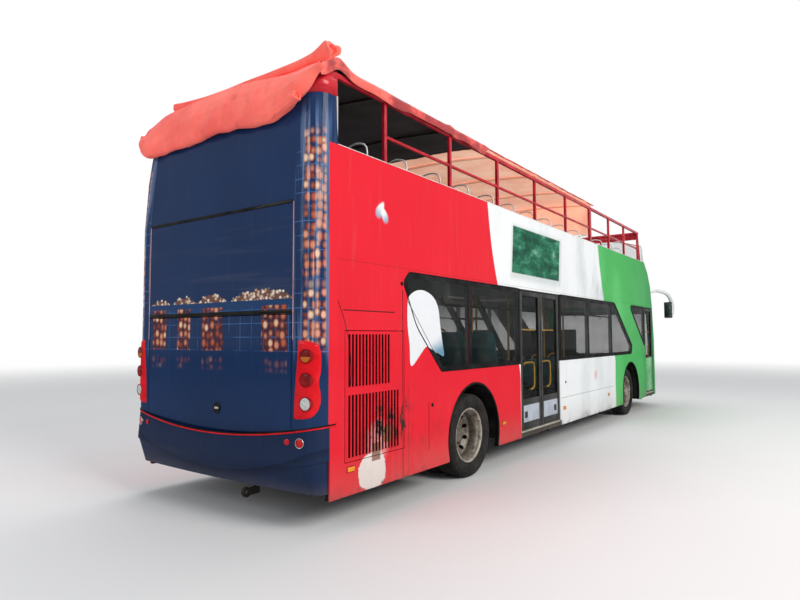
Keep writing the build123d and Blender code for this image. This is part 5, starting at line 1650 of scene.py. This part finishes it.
trim = bmesh.new()
face = at(TAIL)
bar(trim, (face - 0.004, -1.03, 2.702), (face + 0.015, 1.03, 2.732), 0.003, 2)
bar(trim, (face - 0.0035, -1.03, 1.7865), (face + 0.018, 1.03, 1.820), 0.003, 2)
piece("tail_seams", trim, rubber)
edging = bmesh.new()
for side in (-1, 1):
    for out, y, half, low, high in (
        (0.0025, 1.0385, 0.004, 1.80, 2.713),
        (0.0015, 1.0375, 0.003, 1.57, 1.80),
    ):
        near = (face - out, side * y - half, low)
        bar(edging, near, (face + 0.010, side * y + half, high), 0.001, 1)
piece("tail_edging", edging, pink_trim)
latch = bmesh.new()
cup = [(0.0, 0.052), (0.005, 0.052), (0.008, 0.047), (0.008, 0.038), (0.002, 0.035), (0.002, 0.0)]
lathe(latch, cup, (face, -0.075, 0.96), (-1, 0, 0), 32)
bar(latch, (face - 0.009, -0.103, 0.949), (face - 0.002, -0.047, 0.969), 0.003, material=1)
piece("hatch_latch", latch, [black_paint, alloy], "engine_hatch")

# Tail lamp clusters: pillowed red panels that wrap round the corners
outline = [
    (0.115, 1.566), (0.20, 1.560), (0.262, 1.545), (0.294, 1.525), (0.316, 1.46), (0.318, 1.38),
    (0.314, 1.31), (0.300, 1.25), (0.300, 1.20), (0.314, 1.13), (0.312, 1.06), (0.285, 1.00),
    (0.235, 0.955), (0.15, 0.938), (0.066, 0.937), (0.058, 0.950), (0.064, 1.10), (0.078, 1.27),
    (0.096, 1.45), (0.104, 1.555),
]
smooth_outline = curve_through([(d, 0, z) for d, z in outline], 6, closed=True)
clusters = bmesh.new()


def tail_point(side, d, z, stand):
    """A point on the tail, d out from a metre off the centreline as seen from behind."""
    flat = TAIL_BEND - 1.0
    reach = 1.0 + (d if d < flat else flat + (d - flat) * TAIL_RADIUS / 0.172)
    return corner_point(side * reach, TAIL, HALF, TAIL_RADIUS, z, stand)


for side in (-1, 1):

    def cluster_point(u, v, side=side):
        """A panel, from its upright spine at v = 0 to its outline at v = 1."""
        edge_at = smooth_outline[round(u * len(smooth_outline)) % len(smooth_outline)]
        spine = Vector((0.195, 0, min(1.44, max(1.06, edge_at.z))))
        share = min(1.0, v)
        spot = spine.lerp(edge_at, share)
        stand = 0.0115 * math.sqrt(max(0.0, 1.0 - share**6)) + 0.0003
        return tail_point(side, spot.x, spot.z, stand)

    sheet_grid(clusters, len(smooth_outline), 14, cluster_point)
bmesh.ops.remove_doubles(clusters, verts=clusters.verts, dist=0.00005)
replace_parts(piece("tail_lamp_panels", clusters, lamp_red, sharp=60), "lamps")

lenses = bmesh.new()
for side in (-1, 1):
    facing = Vector((-math.cos(math.radians(8)), side * math.sin(math.radians(8)), 0))
    for height, kind in ((1.440, 0), (1.250, 1), (1.060, 2)):
        where = Vector((at(-2.614), side * 1.183, height))
        for profile, slot in (
            (
                [
                    (-0.045, 0.0575), (0.010, 0.0575), (0.0135, 0.056), (0.0135, 0.052),
                    (0.009, 0.050),
                ],
                3,
            ),
            (
                [(0.008, 0.051), (0.012, 0.046), (0.0145, 0.034), (0.0155, 0.018), (0.0158, 0.0)],
                kind,
            ),
            ([(0.0138, 0.040), (0.0150, 0.039), (0.0150, 0.036), (0.0142, 0.035)], kind),
        ):
            lathe(lenses, profile, where, facing, 48, material=slot)
piece("tail_lamp_lenses", lenses, [lens_two, lens_red, lens_clear, bezel_red])

fogs = bmesh.new()
for side in (-1, 1):
    where = Vector((bumper_x(TAIL_BEND, 0.0, 0.748) + 0.010, side * 1.13, 0.748))
    facing = Vector((-1, side * 0.25, 0)).normalized()
    bezel = [(-0.06, 0.041), (0.012, 0.041), (0.015, 0.0385), (0.013, 0.035), (0.008, 0.034)]
    lathe(fogs, bezel, where, facing, 40, material=1)
    lathe(fogs, [(0.006, 0.036), (0.010, 0.028), (0.012, 0.015), (0.012, 0.0)], where, facing, 40)
    spot = Vector((bumper_x(1.0, 0.0, 0.748), side * 1.0, 0.748))
    lathe(fogs, [(-0.004, 0.024), (0.004, 0.024), (0.006, 0.020), (0.006, 0.0)], spot, facing, 32)
piece("fog_lamps", fogs, [lens_bright, chrome])


# ---- side details

small = bmesh.new()
side_face = -HALF
for station, height in ((-2.17, 0.484), (0.724, 0.525), (2.795, 0.507), (5.002, 0.532)):
    for half_length, half_height, depth, bevel, segments, material in (
        (0.045, 0.020, 0.008, 0.004, 3, 0),
        (0.050, 0.025, 0.003, 0.002, 2, 1),
    ):
        low = (at(station - half_length), side_face - depth, height - half_height)
        high = (at(station + half_length), side_face, height + half_height)
        bar(small, low, high, bevel, segments, material=material)
for station, height in ((-1.428, 2.10), (-0.90, 0.90), (2.854, 0.892)):
    button = [(0.0, 0.020), (0.004, 0.020), (0.006, 0.017), (0.006, 0.0)]
    lathe(small, button, (at(station), side_face, height), (0, -1, 0), 24, material=1)
piece("side_markers", small, [lens_amber, rubber])

backing = bmesh.new()
bar(backing, (at(-2.235), -1.2438, 0.555), (at(-1.405), -1.236, 1.635), 0.002, 1)
for row in range(40):
    height = 0.575 + row * 0.0262
    bar(backing, (at(-2.23), -1.2448, height), (at(-1.41), -1.2435, height + 0.006), 0.0004, 1)
piece("radiator_backing", backing, chassis_black, "grille_door")
fins = bmesh.new()
first_slot, slot_pitch = -2.190, 0.046
for count, foot, head in ((13, 1.170, 1.615), (16, 0.580, 1.100)):
    for index in range(count + 1):
        station = first_slot + (index - 0.5) * slot_pitch
        high = (at(station + 0.0085), -1.2745, head - 0.004)
        bar(fins, (at(station - 0.0085), -1.2775, foot + 0.004), high, 0.0012, 1)
    high = (at(first_slot + count * slot_pitch - 0.008), -1.2745, foot - 0.002)
    bar(fins, (at(first_slot - 0.04), -1.2780, foot - 0.010), high, 0.0012, 1)
piece("grille_fins", fins, grille_wrap, "grille_door")

leaf_outline = [
    (-1.333, 1.918), (-1.29, 1.998), (-1.169, 2.050), (-1.025, 2.053), (-0.876, 2.0),
    (-0.781, 1.89), (-0.744, 1.713), (-0.707, 1.557), (-0.672, 1.392), (-0.80, 1.425),
    (-0.92, 1.466), (-1.012, 1.49), (-1.121, 1.411), (-1.278, 1.309), (-1.302, 1.512),
    (-1.335, 1.705),
]
leaf_line = curve_through([(s, 0, z) for s, z in leaf_outline], 5, closed=True)
leaf_middle = Vector((-1.04, 0, 1.72))
leaf = bmesh.new()


def leaf_point(u, v):
    """The printed leaf, from its middle at v = 0 to its outline at v = 1."""
    spot = leaf_middle.lerp(leaf_line[round(u * len(leaf_line)) % len(leaf_line)], v)
    return at(spot.x), -HALF - 0.0016, spot.z


sheet_grid(leaf, len(leaf_line), 8, leaf_point)
bmesh.ops.remove_doubles(leaf, verts=leaf.verts, dist=0.00005)
piece("leaf_print", leaf, leaf_film)

edges_paint = bmesh.new()
for side in (-1, 1):
    for end, y, half, low, high, bevel, segments in (
        (7.66, 1.262, 0.013, PARAPET_Z - 0.006, PARAPET_Z + 0.008, 0.004, 3),
        (-2.328, 1.252, 0.010, 3.225, 3.64, 0.003, 2),
    ):
        near = (at(-2.338), side * y - half, low)
        bar(edges_paint, near, (at(end), side * y + half, high), bevel, segments)
piece("parapet_edging", edges_paint, rail_pale)

hoppers = bmesh.new()
for side in (-1, 1):
    y = side * (HALF + 0.0012)
    for start, end in ((-0.62, 0.14), (0.20, 1.12), (2.74, 3.90), (4.02, 5.2)):
        bar(hoppers, (at(start), y - 0.0008, 1.925), (at(end), y + 0.0008, 1.945), 0.0006, 1)
    for start in (0.256, 3.3, 4.6):
        near = (at(start - 0.012), y - 0.004, 1.885)
        bar(hoppers, near, (at(start + 0.012), y + 0.004, 1.925), 0.002, 2)
piece("hopper_lines", hoppers, rubber)


# ---- mirrors

arm_line = [
    (8.573, 1.100, 2.560), (8.93, 1.270, 2.655), (9.33, 1.415, 2.590), (9.52, 1.480, 2.390),
    (9.54, 1.490, 2.20), (9.52, 1.468, 2.045),
]


def arm_taper(share):
    """Thickness of a mirror arm, slimmer at both ends."""
    return 0.62 + 0.38 * smooth(share, 0.0, 0.3) - 0.30 * smooth(share, 0.6, 1.0)


arms = [curve_through([(at(s), side * y, z) for s, y, z in arm_line], 12) for side in (-1, 1)]
tubes("mirror_arms", arms, 0.044, white_shell, resolution=5, taper=arm_taper)
heads = bmesh.new()
for side in (-1, 1):
    x, y, z = at(9.500), side * 1.405, 2.215
    bar(heads, (x - 0.040, y - 0.098, z - 0.198), (x + 0.049, y + 0.098, z + 0.198), 0.040, 6)
    high = (x - 0.030, y + 0.090, z + 0.188)
    bar(heads, (x - 0.049, y - 0.090, z - 0.188), high, 0.008, 3, material=1)
    for foot, head in ((-0.100, 0.176), (-0.178, -0.112)):
        high = (x - 0.046, y + 0.080, z + head)
        bar(heads, (x - 0.0498, y - 0.080, z + foot), high, 0.002, 2, material=2)
    disc(heads, (x + 0.01, y, z + 0.19), (0, 0, 1), 0.020, 0.014, material=1)
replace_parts(piece("mirror_heads", heads, [white_shell, black_paint, mirror_glass]), "mirrors")


# ---- nose details

# The nose's sections: height, and stations of its corner and of its front on the centreline
nose_sections = [
    (0.0, 8.5, 9.05), (1.5, 8.5, 9.05), (2.25, 8.4, 8.93), (2.7, 8.28, 8.76), (3.01, 8.06, 8.52),
    (3.217, 7.79, 8.26), (3.83, 7.56, 8.03),
]
NOSE_BEND = 0.78


def nose_point(y, z, stand=0.0):
    """A point on the nose's surface, stand in front of it."""
    corner, front = along(nose_sections, z)
    bow = front - corner - 0.42
    radius = (NOSE_BEND**2 + bow**2) / (2 * bow)
    reach = abs(y)
    if reach <= NOSE_BEND:
        x = front - radius + math.sqrt(radius**2 - y * y)
    else:
        x = corner - 0.0492 + math.sqrt(max(0.0, 0.47**2 - (reach - 0.8076) ** 2))
    return at(x) + stand, y, z


def nose_panel(bm, low, high, stand, columns, rows=4):
    """A panel on the nose between two (y, z) corners."""

    def shape(u, v):
        """The panel: u across, v up."""
        return nose_point(low[0] + (high[0] - low[0]) * u, low[1] + (high[1] - low[1]) * v, stand)

    sheet_grid(bm, columns, rows, shape)


nose_trim = bmesh.new()
nose_panel(nose_trim, (-0.80, 2.32), (0.80, 2.62), 0.004, 40)
for foot in (0.56, 0.64):
    nose_panel(nose_trim, (-0.52, foot), (0.52, foot + 0.04), 0.004, 30, 1)
for side in (-1, 1):
    nose_panel(nose_trim, (side * 0.79, 0.64), (side * 1.13, 0.84), 0.010, 20, 8)
    nose_panel(nose_trim, (side * 0.70, 0.42), (side * 0.98, 0.50), 0.004, 12)
thicken(piece("nose_trim", nose_trim, black_gloss, sharp=60), 0.008, 0.0)
front_lamps = bmesh.new()
for side in (-1, 1):
    for y, radius, kind in ((0.86, 0.062, 0), (0.99, 0.062, 0), (1.085, 0.035, 1)):
        x, y, z = nose_point(side * y, 0.74, 0.006)
        normal = Vector((1, side * (0.30 if radius > 0.05 else 0.9), 0)).normalized()
        bezel = [(-0.02, 0.006), (0.006, 0.006), (0.009, 0.002), (0.004, -0.004)]
        bezel = [(out, radius + more) for out, more in bezel]
        lens = [
            (0.003, radius - 0.002), (0.010, radius * 0.75), (0.014, radius * 0.35), (0.015, 0.0)
        ]
        for profile, slot in ((bezel, 2), (lens, kind)):
            lathe(front_lamps, profile, (x, y, z), normal, 40, material=slot)
    where = nose_point(side * 0.84, 0.46, 0.006)
    lathe(front_lamps, [(0.0, 0.030), (0.006, 0.026), (0.008, 0.0)], where, (1, side * 0.2, 0), 32)
piece("headlamps_detail", front_lamps, [lens_clear, lens_amber, chrome])
plate = bmesh.new()
front_x = nose_point(0.0, 0.47)[0]
bar(plate, (front_x - 0.012, -0.26, 0.415), (front_x + 0.004, 0.26, 0.525), 0.004, 3)
piece("blank_plate", plate, white_shell)
# Each wiper has an arm from its foot and a blade
wiper_paths = []
for side in (-1, 1):
    arm, blade = [], []
    for step in range(13):
        t = step / 12
        z = 1.04 + 0.10 * math.sin(t * math.pi / 2)
        arm.append(nose_point(side * (0.85 - 0.73 * t), z, 0.016))
        blade.append(nose_point(side * (0.048 + 0.5895 * t), 1.165 - 0.02 * t, 0.008))
    wiper_paths += [arm, blade]
tubes("wipers", wiper_paths, 0.008, black_paint, resolution=2)
seal = []
frame_yz = [(-1.10, 1.10), (1.10, 1.10), (1.10, 2.17), (-1.10, 2.17), (-1.10, 1.10)]
for (ya, za), (yb, zb) in zip(frame_yz, frame_yz[1:]):
    seal += [nose_point(ya + (yb - ya) * k / 24, za + (zb - za) * k / 24) for k in range(24)]
tubes("windscreen_seal", [seal], 0.010, rubber, resolution=2, closed=True)
screen_radius = 3.272
screen_strip = []
for k in range(61):
    y = -1.20 + 2.40 * k / 60
    z = 3.83 - screen_radius + math.sqrt(screen_radius**2 - y * y) - 0.006
    screen_strip.append(nose_point(y, z, -0.010))
tubes("wind_screen_edge", [screen_strip], 0.012, rail_pale)


# ---- floor, light and camera

ground = bpy.data.meshes.new("studio_floor")
bm = bmesh.new()
bmesh.ops.create_grid(bm, x_segments=1, y_segments=1, size=60)
bm.to_mesh(ground)
bm.free()
floor = bpy.data.objects.new("studio_floor", ground)
bpy.context.scene.collection.objects.link(floor)
floor_paint = Paint("studio_floor")
mottled = floor_paint.mix(floor_paint.noise(0.4, 2), (0.78, 0.78, 0.78), (0.81, 0.81, 0.81))
ground.materials.append(floor_paint.finish(mottled, 0.9))
# Far off, the camera sees the floor fade to white
floor_tree = floor_paint.tree
far = (floor_paint.x * floor_paint.x + floor_paint.y * floor_paint.y) ** 0.5
away = floor_paint.ease(far, 9.0, 34.0) * floor_paint.node("LightPath", out="Is Camera Ray")
white = floor_tree.nodes.new("ShaderNodeEmission")
blend = floor_tree.nodes.new("ShaderNodeMixShader")
surface = floor_tree.nodes["Material Output"].inputs[0]
floor_tree.links.new(away.socket, blend.inputs[0])
floor_tree.links.new(surface.links[0].from_socket, blend.inputs[1])
floor_tree.links.new(white.outputs[0], blend.inputs[2])
floor_tree.links.new(blend.outputs[0], surface)


def lamp_light(name, where, target, size, power, colour=(1, 1, 1)):
    """A rectangular area light that faces its target."""
    data = bpy.data.lights.new(name, "AREA")
    data.shape = "RECTANGLE"
    data.size, data.size_y = size
    data.energy = power
    data.color = colour
    made = bpy.data.objects.new(name, data)
    bpy.context.scene.collection.objects.link(made)
    made.location = where
    made.rotation_euler = (Vector(target) - Vector(where)).to_track_quat("-Z", "Y").to_euler()


lamp_light("key", (-6, -17, 11), (0, 0, 2), (9, 7), 2500, (1.0, 0.98, 0.95))
lamp_light("rear_fill", (-19, 5, 8), (-4, 0, 2), (8, 8), 650, (0.95, 0.97, 1.0))
lamp_light("top", (2, 3, 16), (0, 0, 2), (14, 8), 1000)

world = bpy.data.worlds.new("studio")
bpy.context.scene.world = world
world.use_nodes = True
tree = world.node_tree
tree.nodes.clear()


def world_node(kind, *inputs, **settings):
    """Adds a node to the world, its inputs linked to sockets or set to values, and gives
    its outputs."""
    made = tree.nodes.new("ShaderNode" + kind)
    for key, value in settings.items():
        setattr(made, key, value)
    for socket, value in zip(made.inputs, inputs):
        if isinstance(value, bpy.types.NodeSocket):
            tree.links.new(value, socket)
        else:
            socket.default_value = value
    return made.outputs


# A white backdrop for the camera and for mirrors and glass, and a dimmer light on the bus
rays = world_node("LightPath")
glossy = world_node(
    "Math", rays["Is Glossy Ray"], rays["Is Transmission Ray"], operation="MAXIMUM"
)
seen = world_node("Math", rays["Is Camera Ray"], glossy[0], operation="MAXIMUM")
ambient = world_node("Background", (0.93, 0.96, 1.0, 1), 0.42)
backdrop = world_node("Background", (1, 1, 1, 1), 1.0)
world_node("OutputWorld", world_node("MixShader", seen[0], ambient[0], backdrop[0])[0])
bpy.context.scene.view_settings.view_transform = "Standard"

# Camera solved from the photograph: focal length in pixels, width of the photograph, angles
FOCAL, PHOTO_WIDTH = 594.6, 800
yaw, pitch, roll_angle = (math.radians(angle) for angle in (35.89, 3.49, -0.17))
ahead = Vector((math.cos(yaw), math.sin(yaw), 0))
forward = ahead * math.cos(pitch) + Vector((0, 0, math.sin(pitch)))
level = Vector((math.sin(yaw), -math.cos(yaw), 0))
upright = level.cross(forward)
right = math.cos(roll_angle) * level + math.sin(roll_angle) * upright
up = -math.sin(roll_angle) * level + math.cos(roll_angle) * upright
lens = bpy.data.cameras.new("camera")
lens.sensor_width = 36
lens.lens = lens.sensor_width * FOCAL / PHOTO_WIDTH
lens.clip_end = 200
camera = bpy.data.objects.new("camera", lens)
bpy.context.scene.collection.objects.link(camera)
axes = Matrix((right, up, -forward)).transposed().to_4x4()
camera.matrix_world = Matrix.Translation((REAR_AXLE - 6.034, -4.587, 1.597)) @ axes
bpy.context.scene.camera = camera
